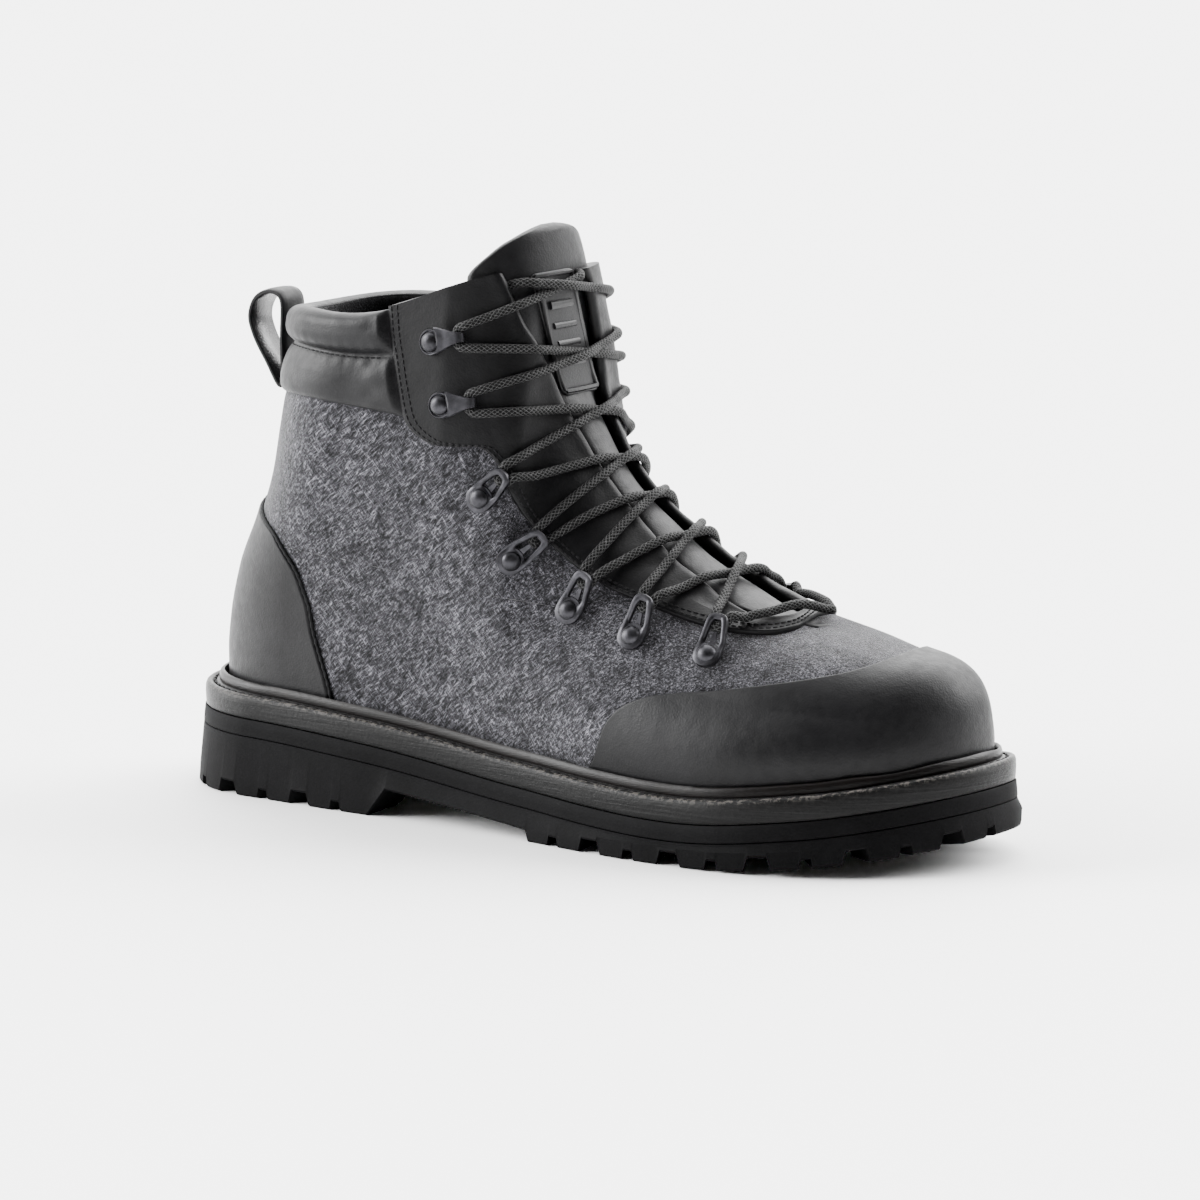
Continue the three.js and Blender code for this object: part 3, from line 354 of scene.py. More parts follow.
def shell_faces(rows, cols, wrap=False):
    """An outer and an inner grid, joined round their rims into one closed shell."""
    count = rows * cols
    faces = grid_faces(rows, cols, 0, wrap)
    faces += [face[::-1] for face in grid_faces(rows, cols, count, wrap)]

    def rim(a, b):
        faces.append((b, a, count + a, count + b))

    for j in range(cols if wrap else cols - 1):
        k = (j + 1) % cols
        rim(j, k)
        rim((rows - 1) * cols + k, (rows - 1) * cols + j)
    if not wrap:
        for i in range(rows - 1):
            rim((i + 1) * cols, i * cols)
            rim(i * cols + cols - 1, (i + 1) * cols + cols - 1)
    return faces


def shell(name, outer, inner, material):
    """A closed piece from an outer and an inner grid of points."""
    points = np.concatenate([outer.reshape(-1, 3), inner.reshape(-1, 3)])
    return add_mesh(name, points, shell_faces(*outer.shape[:2]), material)


def swept_faces(rows, cols):
    """The closed skin of a section swept along, with a cap at each end."""
    faces = grid_faces(rows, cols, 0, False, True)
    faces.append(tuple(i * cols for i in range(rows)))
    faces.append(tuple(i * cols + cols - 1 for i in range(rows))[::-1])
    return faces


def merged(parts):
    """The points and faces of several solids as those of one piece."""
    points, faces, start = [], [], 0
    for part_points, part_faces in parts:
        part_points = np.asarray(part_points, float).reshape(-1, 3)
        points.append(part_points)
        faces += [tuple(start + k for k in face) for face in part_faces]
        start += len(part_points)
    return np.concatenate(points), faces


def spline_point(before, here, there, after, t):
    """A point between here and there on a smooth line through all four."""
    return 0.5 * (2 * here + (there - before) * t + (2 * before - 5 * here + 4 * there - after) * t ** 2
                  + (3 * here - before - 3 * there + after) * t ** 3)


def paint(piece, name, values):
    layer = piece.data.attributes.new(name, "FLOAT", "POINT")
    layer.data.foreach_set("value", np.asarray(values, np.float32))


def finish_piece(piece, slot, *nodes):
    """Fixes a piece to the boot and hides the source nodes that it replaces; its slot is not used."""
    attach(piece, "root")
    if nodes:
        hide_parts(*nodes)
    return piece


def closed_sweep(name, loops, material, smooth_angle=None):
    """A ring-shaped solid: each loop is one line round it, and the loops go round its section."""
    rows, cols = len(loops), len(loops[0])
    faces = grid_faces(rows, cols, 0, True, True)
    return add_mesh(name, np.concatenate(loops), faces, material, smooth_angle)


# Materials
class Shader:
    """A material's nodes, with short ways to add the ones used here."""

    def __init__(self, name, roughness=0.5, specular=0.5, metallic=0.0):
        self.material = bpy.data.materials.new(name)
        self.material.use_nodes = True
        self.tree = self.material.node_tree
        self.bsdf = self.tree.nodes["Principled BSDF"]
        self.bsdf.inputs["Roughness"].default_value = roughness
        self.bsdf.inputs["Specular IOR Level"].default_value = specular
        self.bsdf.inputs["Metallic"].default_value = metallic
        self.coords = self.tree.nodes.new("ShaderNodeTexCoord").outputs["Object"]

    def link(self, a, b):
        self.tree.links.new(a, b)

    def mapped(self, scale=(1, 1, 1), rotation=(0, 0, 0), kind="POINT"):
        node = self.tree.nodes.new("ShaderNodeMapping")
        node.vector_type = kind
        node.inputs["Scale"].default_value = scale
        node.inputs["Rotation"].default_value = [math.radians(angle) for angle in rotation]
        self.link(self.coords, node.inputs["Vector"])
        return node.outputs["Vector"]

    def noise(self, scale, detail=3.0, roughness=0.5, vector=None, distortion=0.0):
        node = self.tree.nodes.new("ShaderNodeTexNoise")
        node.inputs["Scale"].default_value = scale
        node.inputs["Detail"].default_value = detail
        node.inputs["Roughness"].default_value = roughness
        node.inputs["Distortion"].default_value = distortion
        self.link(vector or self.coords, node.inputs["Vector"])
        return node.outputs["Fac"]

    def voronoi(self, scale, feature="F1", vector=None):
        node = self.tree.nodes.new("ShaderNodeTexVoronoi")
        node.feature = feature
        node.inputs["Scale"].default_value = scale
        self.link(vector or self.coords, node.inputs["Vector"])
        return node.outputs["Distance"]

    def ramp(self, value, stops):
        node = self.tree.nodes.new("ShaderNodeValToRGB")
        elements = node.color_ramp.elements
        for i, (position, shade) in enumerate(stops):
            element = elements[i] if i < 2 else elements.new(position)
            element.position = position
            element.color = shade if isinstance(shade, tuple) else (shade, shade, shade, 1)
        self.link(value, node.inputs["Fac"])
        return node.outputs["Color"]

    def mix(self, factor, a, b, kind="MIX"):
        node = self.tree.nodes.new("ShaderNodeMix")
        node.data_type = "RGBA"
        node.blend_type = kind
        for socket, value in ((node.inputs[0], factor), (node.inputs[6], a), (node.inputs[7], b)):
            if isinstance(value, bpy.types.NodeSocket):
                self.link(value, socket)
            else:
                socket.default_value = value
        return node.outputs[2]

    def math(self, operation, a, b=0.0):
        node = self.tree.nodes.new("ShaderNodeMath")
        node.operation = operation
        for socket, value in zip(node.inputs, (a, b)):
            if isinstance(value, bpy.types.NodeSocket):
                self.link(value, socket)
            else:
                socket.default_value = value
        return node.outputs[0]

    def attribute(self, name):
        node = self.tree.nodes.new("ShaderNodeAttribute")
        node.attribute_name = name
        return node.outputs["Fac"]

    def bump(self, height, strength, distance, base=None):
        node = self.tree.nodes.new("ShaderNodeBump")
        node.inputs["Strength"].default_value = strength
        node.inputs["Distance"].default_value = distance
        self.link(height, node.inputs["Height"])
        if base is not None:
            self.link(base, node.inputs["Normal"])
        return node.outputs["Normal"]

    def finish(self, base, normal=None, roughness=None):
        self.link(base, self.bsdf.inputs["Base Color"])
        if normal is not None:
            self.link(normal, self.bsdf.inputs["Normal"])
        if roughness is not None:
            self.link(roughness, self.bsdf.inputs["Roughness"])
        return self.material


def leather_material(name, dark, light, roughness=0.46, grain=0.22, specular=0.14):
    shader = Shader(name, roughness, specular)
    tone = shader.noise(38, 4, 0.6)
    pores = shader.voronoi(1500)
    fine = shader.noise(2600, 2, 0.6)
    broad = shader.noise(90, 3, 0.55)
    base = shader.ramp(tone, [(0.3, dark), (0.7, light)])
    normal = shader.bump(pores, grain, 0.0002)
    normal = shader.bump(fine, 0.12, 0.0002, normal)
    normal = shader.bump(broad, 0.22, 0.0014, normal)
    rough = shader.ramp(shader.noise(300, 3, 0.6), [(0.3, roughness - 0.05), (0.7, roughness + 0.07)])
    return shader.finish(base, normal, rough)


def felt_material(name, dark, middle, light):
    """Brushed felt: short fibres lying in three directions over cloudy wool."""
    shader = Shader(name, 0.95, 0.05)
    shader.bsdf.inputs["Sheen Weight"].default_value = 0.4
    shader.bsdf.inputs["Sheen Roughness"].default_value = 0.35
    layers = [shader.noise(3000, 2, 0.5, shader.mapped((1, 1, 9), (0, tilt, 0), "TEXTURE"), 0.2)
              for tilt in (58, 36, -40)]
    longest = shader.math("MAXIMUM", shader.math("MAXIMUM", layers[0], layers[1]), layers[2])
    pits = shader.noise(1500, 3, 0.65, shader.mapped((1, 1, 4), (0, 50, 0), "TEXTURE"), 0.4)
    clumps = shader.noise(170, 4, 0.6)
    cloud = shader.noise(22, 3, 0.5)
    base = shader.ramp(longest, [(0.5, dark), (0.6, middle), (0.72, light)])
    for value, stops in ((pits, [(0.4, 0.3), (0.54, 1.0), (0.68, 1.6)]),
                         (clumps, [(0.35, 0.6), (0.68, 1.35)]), (cloud, [(0.3, 0.8), (0.7, 1.2)])):
        base = shader.mix(1.0, base, shader.ramp(value, stops), "MULTIPLY")
    normal = shader.bump(shader.math("ADD", longest, pits), 0.5, 0.0006)
    normal = shader.bump(clumps, 0.3, 0.0012, normal)
    return shader.finish(base, normal)


def rubber_material(name, dark, light, roughness=0.62, specular=0.12):
    shader = Shader(name, roughness, specular)
    speckle = shader.noise(1400, 3, 0.6)
    dust = shader.noise(60, 4, 0.65)
    base = shader.ramp(dust, [(0.3, dark), (0.75, light)])
    grain = shader.ramp(speckle, [(0.4, 0.8), (0.7, 1.3)])
    base = shader.mix(1.0, base, grain, "MULTIPLY")
    normal = shader.bump(speckle, 0.25, 0.0003)
    normal = shader.bump(dust, 0.15, 0.001, normal)
    return shader.finish(base, normal)


def strip_material(name):
    """The sole's leather edge: brushed along, with a rough top corner lightened in patches, partly scuffing
    and partly a painted glint.
    """
    shader = Shader(name, 0.34, 0.08)
    streaks = shader.noise(60, 5, 0.65, shader.mapped((0.35, 0.35, 22)))
    fine = shader.noise(900, 3, 0.6, shader.mapped((0.3, 0.3, 3)))
    wear_and_glint = shader.attribute("edge")
    rough_patch = shader.noise(700, 4, 0.7)
    base = shader.ramp(streaks, [(0.3, 0.002), (0.55, 0.005), (0.75, 0.013)])
    wear_and_glint_patches = shader.math("MULTIPLY", wear_and_glint, shader.math("GREATER_THAN", rough_patch, 0.52))
    # Lighter patches on the top corner: scuffed leather, and a painted glint where light catches the edge
    base = shader.mix(wear_and_glint_patches, base, (0.06, 0.055, 0.05, 1))
    normal = shader.bump(streaks, 0.35, 0.0006)
    normal = shader.bump(fine, 0.3, 0.0003, normal)
    normal = shader.bump(rough_patch, 0.35, 0.0006, normal)
    return shader.finish(base, normal)


def bead_material(name):
    shader = Shader(name, 0.34, 0.12)
    tone = shader.noise(120, 5, 0.7)
    streak = shader.noise(500, 3, 0.6, shader.mapped((1, 1, 5)))
    base = shader.ramp(tone, [(0.35, (0.002, 0.0017, 0.0016, 1)), (0.6, (0.004, 0.003, 0.0027, 1)),
                              (0.8, (0.013, 0.008, 0.0065, 1))])
    normal = shader.bump(streak, 0.3, 0.0004)
    return shader.finish(base, normal)


def metal_material(name, dark, light, roughness=0.38):
    shader = Shader(name, roughness, 0.3, 0.9)
    tone = shader.noise(260, 4, 0.6)
    brush = shader.noise(900, 3, 0.6, shader.mapped((1, 1, 4)))
    base = shader.ramp(tone, [(0.35, dark), (0.75, light)])
    rough = shader.ramp(brush, [(0.3, roughness - 0.08), (0.7, roughness + 0.12)])
    normal = shader.bump(brush, 0.12, 0.0002)
    return shader.finish(base, normal, rough)


def lace_material(name):
    """A fine braid: pale flecks where strands lie up, in two crossing directions round the cord."""
    shader = Shader(name, 0.6, 0.08)
    angle = shader.math("ARCTAN2", shader.attribute("braid_sin"), shader.attribute("braid_cos"))
    run = shader.math("MULTIPLY", shader.attribute("braid_run"), 3.4)
    turns = shader.math("MULTIPLY", angle, 7.0)
    left = shader.math("SINE", shader.math("ADD", turns, run))
    right = shader.math("SINE", shader.math("SUBTRACT", turns, run))
    braid = shader.math("MAXIMUM", left, right)
    fleck = shader.noise(2600, 2, 0.6)
    base = shader.ramp(braid, [(0.3, 0.0012), (0.75, 0.004), (0.97, 0.04)])
    base = shader.mix(1.0, base, shader.ramp(fleck, [(0.4, 0.5), (0.68, 1.9)]), "MULTIPLY")
    normal = shader.bump(braid, 0.5, 0.0003)
    normal = shader.bump(fleck, 0.25, 0.0003, normal)
    return shader.finish(base, normal)


def grey(value):
    return (value, value * 0.985, value * 1.1, 1)


LOOKS = {
    "leather": leather_material("leather", grey(0.0028), grey(0.0048)),
    # The facing: the same leather painted darker and given less specular, as painted shade for its turn away
    # from the lights
    "facing": leather_material("facing", grey(0.002), grey(0.0035), 0.44, 0.22, 0.1),
    "gloss_leather": leather_material("gloss_leather", grey(0.003), grey(0.005), 0.24, 0.3, 0.4),
    "felt": felt_material("felt", grey(0.014), grey(0.05), grey(0.14)),
    "lining": felt_material("lining", grey(0.002), grey(0.006), grey(0.02)),
    "rubber": rubber_material("rubber", grey(0.0012), grey(0.003), 0.7, 0.05),
    "patch": rubber_material("patch", grey(0.004), grey(0.006), 0.4, 0.2),
    "strip": strip_material("strip"),
    "bead": bead_material("bead"),
    "gunmetal": metal_material("gunmetal", grey(0.018), grey(0.045)),
    "thread": rubber_material("thread", grey(0.003), grey(0.006), 0.7),
    "lace": lace_material("lace"),
}


# The sole: lines round its plan, with extra stations at each edge of a gap in the tread
def edge_run(side, count=3000):
    """Places along one side of the sole, and the run of its edge up to each."""
    x = SOLE_LENGTH * (1 - np.cos(np.pi * np.linspace(0, 1, count))) / 2
    y = half_width(x, 0, side)
    run = np.r_[0, np.cumsum(np.hypot(np.diff(x), np.diff(y)))]
    return x, run


def tread_gaps(side):
    """The gaps between the lugs along one edge: where each lies, its half width and its depth."""
    x, run = edge_run(side)
    heel = np.interp(HEEL_BREAST - HEEL_LUG, x, run)
    fore = np.interp(FOREPART_START + FOREPART_LUG, x, run)
    places = [(heel - i * LUG_PITCH, i % 2 == 1) for i in range(5)]
    places += [(fore + i * LUG_PITCH, i % 2 == 1) for i in range(int((run[-1] - fore) / LUG_PITCH) + 1)]
    return [(place, (WIDE_GAP if wide else NARROW_GAP) / 2, WIDE_DEPTH if wide else NARROW_DEPTH)
            for place, wide in places]


def side_stations(side):
    """Shares of the way along one side, from heel to toe, with the tread's depth at each."""
    x, run = edge_run(side)
    gaps = tread_gaps(side)
    marks = [run[-1] * (1 - math.cos(math.pi * i / 150)) / 2 for i in range(151)]
    breast = [HEEL_BREAST, HEEL_BREAST + BREAST_SLOPE, FOREPART_START - 1, FOREPART_START]
    marks += [np.interp(place + step, x, run) for place in breast for step in (-0.4, 0, 0.4)]
    for place, half, _ in gaps:
        for share in (GAP_TAPER, 1.0):
            marks += [place + sign * (half * share + step) for sign in (-1, 1) for step in (-0.25, 0, 0.25)]
    marks = np.unique(np.clip(marks, 0, run[-1]).round(3))
    depth = np.zeros(len(marks))
    for place, half, deep in gaps:
        slope = np.clip((half - np.abs(marks - place)) / (half * (1 - GAP_TAPER)), 0, 1)
        depth = np.maximum(depth, deep * slope)
    at = np.interp(marks, run, x)
    turn = np.arccos(np.clip(1 - 2 * at / SOLE_LENGTH, -1, 1)) / np.pi
    return turn, depth


def sole_stations():
    lateral, lateral_depth = side_stations(-1)
    medial, medial_depth = side_stations(1)
    turns = np.r_[lateral[:-1], medial[:0:-1]]
    sides = np.r_[-np.ones(len(lateral) - 1), np.ones(len(medial) - 1)]
    return turns, sides, np.r_[lateral_depth[:-1], medial_depth[:0:-1]]


TURNS, SIDES, GAP_DEPTH = sole_stations()


def sole_line(margin, height, rise=0.0):
    """A line round the sole at a margin inside its edge, this far above a height given along x."""
    margin = np.broadcast_to(np.asarray(margin, float), TURNS.shape)
    x = margin + (SOLE_LENGTH - 2 * margin) * (1 - np.cos(np.pi * TURNS)) / 2
    y = np.where(SIDES < 0, half_width(x, margin, -1), half_width(x, margin, 1))
    return np.stack([x, y, height(x) + rise], axis=1)


def under_height(x):
    """The underside's main surface: the lugs' ground, the heel's breast and the arch."""
    x = np.asarray(x, float)
    start, end = HEEL_BREAST + BREAST_SLOPE, FOREPART_START - 1
    arch = np.interp(x, [HEEL_BREAST, start, end, FOREPART_START], [0, BREAST_HEIGHT, ARCH_END_HEIGHT, 0])
    return ground_height(x) + arch


def leather_bottom(x):
    return deck_height(x) - LEATHER_LAYER


def rubber_bottom(x):
    return leather_bottom(x) - FIT - RUBBER_LAYER


def outsole_top(x):
    return rubber_bottom(x) - FIT


def fill_line(line, start, up):
    """Faces that close the inside of one line round the sole, in strips across it."""
    count = len(line)
    lateral = int(np.sum(SIDES < 0))
    near = list(range(lateral + 1))
    far = [0] + list(range(count - 1, lateral - 1, -1))
    faces = []
    i = j = 0
    while i < len(near) - 1 or j < len(far) - 1:
        step_near = j >= len(far) - 1
        if i < len(near) - 1 and j < len(far) - 1:
            step_near = line[near[i + 1]][0] <= line[far[j + 1]][0]
        face = (near[i], near[i + 1], far[j]) if step_near else (near[i], far[j + 1], far[j])
        if len(set(face)) == 3:
            faces.append(face if up else face[::-1])
        i, j = (i + 1, j) if step_near else (i, j + 1)
    return [tuple(start + k for k in face) for face in faces]


def sole_body(name, section, look, smooth_angle):
    """A closed slab from rows of margin, height and rise, from the bottom's rim to the top's."""
    lines = [sole_line(*row) for row in section]
    rows, cols = len(lines), len(lines[0])
    faces = grid_faces(rows, cols, 0, True)
    faces += fill_line(lines[0], 0, False)
    faces += fill_line(lines[-1], (rows - 1) * cols, True)
    return add_mesh(name, np.concatenate(lines), faces, LOOKS[look], smooth_angle)


def make_outsole():
    def floor(x):
        return under_height(x) + GAP_DEPTH

    def above_gaps(x):
        return np.maximum(ground_height(x) + 6, floor(x) + 1.6)

    piece = sole_body("sole_outsole", [
        (LUG_REACH, under_height, LUG_DEPTH), (LUG_REACH, floor), (LUG_REACH - 0.4, floor), (6, floor),
        (0.8 - SOLE_PROUD, floor), (0.3 - SOLE_PROUD, floor, 0.25), (-SOLE_PROUD, floor, 0.8),
        (0.25 - SOLE_PROUD, above_gaps), (0.1, outsole_top, -0.7), (0.15, outsole_top, -0.2),
        (0.35, outsole_top), (4, outsole_top),
    ], "rubber", 28)
    finish_piece(piece, "sole_rubber", "outsole")


def rubber_top(x):
    return leather_bottom(x) - FIT


def make_rubber_midsole():
    piece = sole_body("sole_rubber_layer", [
        (4, rubber_bottom), (0.35, rubber_bottom), (0.15, rubber_bottom, 0.25), (0.3, rubber_bottom, 2.5),
        (0.6, rubber_top, -0.3), (0.85, rubber_top), (5, rubber_top),
    ], "rubber", 40)
    finish_piece(piece, "sole_rubber", "rubber_midsole")


# The leather layer's edge: margin past the strip's own, height, rise, and how much it is lightened there, for
# scuffs and a painted glint
LEATHER_EDGE = [
    (5 - STRIP_MARGIN, leather_bottom, 0, 0), (0.35, leather_bottom, 0, 0), (0.1, leather_bottom, 0.3, 0),
    (0, leather_bottom, 1.6, 0), (-0.1, leather_bottom, 4, 0), (0, deck_height, -1.6, 0.05),
    (0.35, deck_height, -0.6, 0.6), (0.9, deck_height, -0.1, 1), (1.5, deck_height, 0, 1),
    (1.9, deck_height, -0.1, 0.5), (2.3, deck_height, -0.7, 0.1), (3.0, deck_height, -0.8, 0),
    (3.5, deck_height, -0.2, 0.1), (4.0, deck_height, 0, 0.1),
    (FEATHER_MARGIN + 4 - STRIP_MARGIN, deck_height, 0, 0),
]


def make_leather_midsole():
    rows = [(STRIP_MARGIN + margin, height, rise) for margin, height, rise, _ in LEATHER_EDGE]
    piece = sole_body("sole_leather_layer", rows, "strip", 60)
    # The top corner's lightening, for scuffs and a painted glint, as a value at each point
    paint(piece, "edge", np.repeat(column(LEATHER_EDGE, 3), len(TURNS)))
    finish_piece(piece, "edge_leather", "leather_midsole")


# The bead's section: shares of its width outwards and of its height upwards
BEAD_SECTION = [
    (0, 0), (0.95, 0), (1.05, 0.25), (1.0, 0.55), (0.8, 0.85), (0.45, 1.0), (0.1, 0.95), (0, 0.7),
]
BEAD_WIDTH, BEAD_HEIGHT, BEAD_WAVE, BEAD_SUNK = 1.7, 3.8, 0.22, 0.3


def make_bead():
    inner = FEATHER_MARGIN - LEATHER - 1.2
    outer = inner - BEAD_WIDTH
    line = sole_line(outer, deck_height)
    toe = smooth((line[:, 0] - 0.8 * SOLE_LENGTH) / (0.12 * SOLE_LENGTH))
    run = np.cumsum(np.r_[0, np.linalg.norm(np.diff(line, axis=0), axis=1)])
    wave = toe * (np.sin(run / 7.3) + 0.6 * np.sin(run / 3.9 + 1)) * BEAD_WAVE
    loops = [sole_line(inner + (outer - inner) * out - wave * out, deck_height,
                       up * (BEAD_HEIGHT + wave * 1.5) - BEAD_SUNK) for out, up in BEAD_SECTION]
    finish_piece(closed_sweep("sole_bead", loops, LOOKS["bead"], 60), "bead_leather", "welt_bead")


def make_insole():
    margin = FEATHER_MARGIN + WALL + 1.2
    piece = sole_body("inner_insole", [
        (margin + 1, deck_height, 2 * FIT), (margin, deck_height, 1.2), (margin, deck_height, 3.6),
        (margin + 1.2, deck_height, 4.6),
    ], "lining", 50)
    finish_piece(piece, "lining", "insole")


# The throat: inner and outer edges of the facings, round the U from the top of one side to the other
# Rows: inner level, inner around, outer level, outer around; the medial side has the same outer edge
FACING_LATERAL = [
    (1.003, 0.207, 1.005, 0.502), (0.973, 0.1895, 0.971, 0.4965), (0.953, 0.170, 0.937, 0.484),
    (0.929, 0.138, 0.892, 0.469), (0.913, 0.111, 0.857, 0.456), (0.9005, 0.0952, 0.838, 0.431),
    (0.880, 0.081, 0.828, 0.394), (0.865, 0.071, 0.8285, 0.352), (0.846, 0.0656, 0.832, 0.3065),
    (0.818, 0.061, 0.825, 0.2814), (0.788, 0.061, 0.8055, 0.2684), (0.761, 0.065, 0.760, 0.2736),
    (0.734, 0.070, 0.708, 0.2793), (0.6875, 0.081, 0.652, 0.272), (0.651, 0.086, 0.601, 0.260),
    (0.6225, 0.0835, 0.562, 0.2446), (0.591, 0.084, 0.529, 0.2165), (0.551, 0.089, 0.485, 0.189),
    (0.524, 0.091, 0.453, 0.160), (0.497, 0.0926, 0.4387, 0.127), (0.482, 0.075, 0.436, 0.105),
    (0.479, 0.050, 0.4423, 0.0747), (0.482, 0.030, 0.452, 0.052), (0.487, 0.012, 0.461, 0.030),
    (0.490, 0.003, 0.4665, 0.004),
]
FACING_MEDIAL = [
    (0.494, -0.002), (0.501, -0.005), (0.51, -0.008), (0.522, -0.012), (0.54, -0.018), (0.556, -0.022),
    (0.575, -0.025), (0.6, -0.025), (0.625, -0.022), (0.652, -0.02), (0.6875, -0.0215), (0.734, -0.026),
    (0.761, -0.03), (0.788, -0.037), (0.818, -0.048), (0.846, -0.06), (0.865, -0.068), (0.88, -0.072),
    (0.9005, -0.078), (0.913, -0.0765), (0.929, -0.074), (0.953, -0.067), (0.968, -0.054),
    (0.99, -0.03),
]
FACING = [(a, -b, c, -d) for a, b, c, d in FACING_LATERAL]
FACING += [(a, -b, c, d) for (a, b), (_, _, c, d) in zip(FACING_MEDIAL, FACING_LATERAL[-2::-1])]
facing_curves = [curve(np.arange(len(FACING)), column(FACING, k)) for k in range(4)]
# Its stations along, the width from which its folds are full size, the height of its flat part
FACING_STEPS = 420
FULL_WIDTH = 22.0
FLAT_HEIGHT = 1.7
FLAT_ROWS = 22
# The first rows of the fold's profile that are folded under
FOLDED_UNDER = 5


def facing_edges():
    at = np.linspace(0, len(FACING) - 1, FACING_STEPS)
    return [line(at) for line in facing_curves]


def facing_line(edges, share):
    """Levels and places this share of the way from the folded edge to the outer one."""
    level_in, around_in, level_out, around_out = edges
    return level_in + (level_out - level_in) * share, around_in + (around_out - around_in) * share


def facing_width(edges):
    return np.linalg.norm(surface(*edges[2:]) - surface(*edges[:2]), axis=1)


# Offsets of the facing leather: millimetres from the folded inner edge, height above the felt
FOLD_PROFILE = [
    (9, -2.3), (5, -2.2), (2.2, -1.9), (0.9, -1.4), (0.2, -0.6), (0, 0.3), (0.25, 1.2), (0.8, 1.95),
    (1.7, 2.35), (3.0, 2.3), (4.5, 1.95), (7, 1.75), (10, 1.7),
]
EDGE_PROFILE = [(5, 1.7), (3.6, 1.72), (2.0, 1.75), (0.9, 1.7), (0.35, 1.45), (0.08, 1.0), (0.0, 0.2)]
# Levels of the soft troughs where the lace pulls on the fold
LACE_PULLS = [0.955, 0.895, 0.82, 0.72, 0.63, 0.55]


def make_facing():
    """The facing's leather: folded under at the throat, flat, then down over its outer edge."""
    edges = facing_edges()
    width = facing_width(edges)
    squeeze = np.clip(width / FULL_WIDTH, 0.2, 1)
    rows = [(distance * squeeze, height * (0.55 + 0.45 * squeeze))
            for distance, height in FOLD_PROFILE[FOLDED_UNDER:]]
    first, last = rows[-1][0], width - EDGE_PROFILE[0][0] * squeeze
    rows += [(first + (last - first) * share, FLAT_HEIGHT)
             for share in np.arange(1, FLAT_ROWS + 1) / (FLAT_ROWS + 1)]
    rows += [(width - distance * squeeze, height) for distance, height in EDGE_PROFILE]
    grid = [surface(*facing_line(edges, distance * squeeze / width), height)
            for distance, height in FOLD_PROFILE[:FOLDED_UNDER]]
    for distance, height in rows:
        share = distance / width
        level, around = facing_line(edges, share)
        grid.append(surface(level, around, height + facing_creases(level, share)))
    grid.append(surface(*edges[2:], -0.6))
    faces = [face[::-1] for face in swept_faces(len(grid), FACING_STEPS)]
    # Its darker copy of the leather is painted shade
    piece = add_mesh("leather_facing", np.array(grid), faces, LOOKS["facing"], 50)
    finish_piece(piece, "leather", "eyestay")


def facing_creases(level, share):
    """Small dips where the lace crosses the folded edge, and faint soft folds on from them."""
    dent = np.zeros_like(level)
    for at in LACE_PULLS:
        dent -= 0.35 * np.exp(-((level - at) / 0.014) ** 2) * np.exp(-(share / 0.3) ** 2)
    open_part = np.exp(-((share - 0.45) / 0.25) ** 2)
    return dent + 0.18 * open_part * np.sin(level * 74 + share * 5) * np.sin(level * 31 + 1)


# The throat's foot, and how far the felt's top edge stays below the rim, under the facing and collar
THROAT_FOOT = 0.468
FELT_TUCK = 0.04


def join_vamp(faces, rows, cols, closed_rows):
    """Joins the felt's two ends along the ridge below the throat, where they meet."""
    ends = [start + i * cols for start in (0, rows * cols) for i in range(closed_rows)]
    same = {end + cols - 1: end for end in ends}
    seam = set(ends)
    joined = [tuple(same.get(k, k) for k in face) for face in faces]
    return [face for face in joined if not seam.issuperset(face)]


def throat_edges(level):
    """The facings' folded edges at a level: how far round each lies, lateral and medial."""
    near = np.interp(level, column(FACING_LATERAL, 0)[19::-1], column(FACING_LATERAL, 1)[19::-1])
    far = np.interp(level, column(FACING_MEDIAL, 0), -column(FACING_MEDIAL, 1))
    return near, far


def felt_dents(level, around):
    """Soft waves in the felt: a hollow behind the ball, faint folds on the quarter."""
    side = np.abs((around + 1) % 2 - 1)
    hollow = -0.5 * np.exp(-((level - 0.42) / 0.12) ** 2 - ((side - 0.42) / 0.09) ** 2)
    folds = 0.16 * np.sin(level * 30 + side * 22) * np.exp(-((side - 0.6) / 0.2) ** 2)
    fade = smooth(level / 0.08) * smooth((0.98 - level) / 0.1)
    return (hollow + folds) * fade


def make_felt():
    """The felt shell with its lining inside, open at the collar, throat and bottom."""
    rows = np.unique(np.r_[np.linspace(0, 1.0, 96), THROAT_FOOT, THROAT_FOOT + 0.0008])
    near, far = throat_edges(rows * (1 - FELT_TUCK * smooth((rows - 0.6) / 0.4)))
    opened = np.where(rows > THROAT_FOOT, 1.0, 0.0)
    medial = (far + 0.022) * opened
    lateral = (near + 0.025) * opened
    share = np.linspace(0, 1, 390)
    around = -lateral[:, None] + (-(2 - lateral - medial))[:, None] * share
    level = np.repeat(rows[:, None], len(share), axis=1)
    under_facing = smooth((0.5 - np.abs((around + 1) % 2 - 1)) / 0.05) * smooth((level - 0.6) / 0.4)
    level = level * (1 - FELT_TUCK * under_facing)
    outer = surface(level, around, felt_dents(level, around))
    inner = surface(level, around, -WALL)
    faces = [face[::-1] for face in shell_faces(len(rows), len(share))]
    faces = join_vamp(faces, len(rows), len(share), int(np.sum(rows <= THROAT_FOOT)))
    points = np.concatenate([outer.reshape(-1, 3), inner.reshape(-1, 3)])
    piece = add_mesh("felt_shell", points, faces, LOOKS["felt"])
    piece.data.materials.append(LOOKS["lining"])
    outside = (len(rows) - 1) * (len(share) - 1)
    for face in piece.data.polygons[outside:2 * outside]:
        face.material_index = 1
    finish_piece(piece, "felt", "upper")


# Overlays of plain leather whose edge is a table of levels and places
EDGE_RADIUS, EDGE_SUNK = 0.7, 0.2


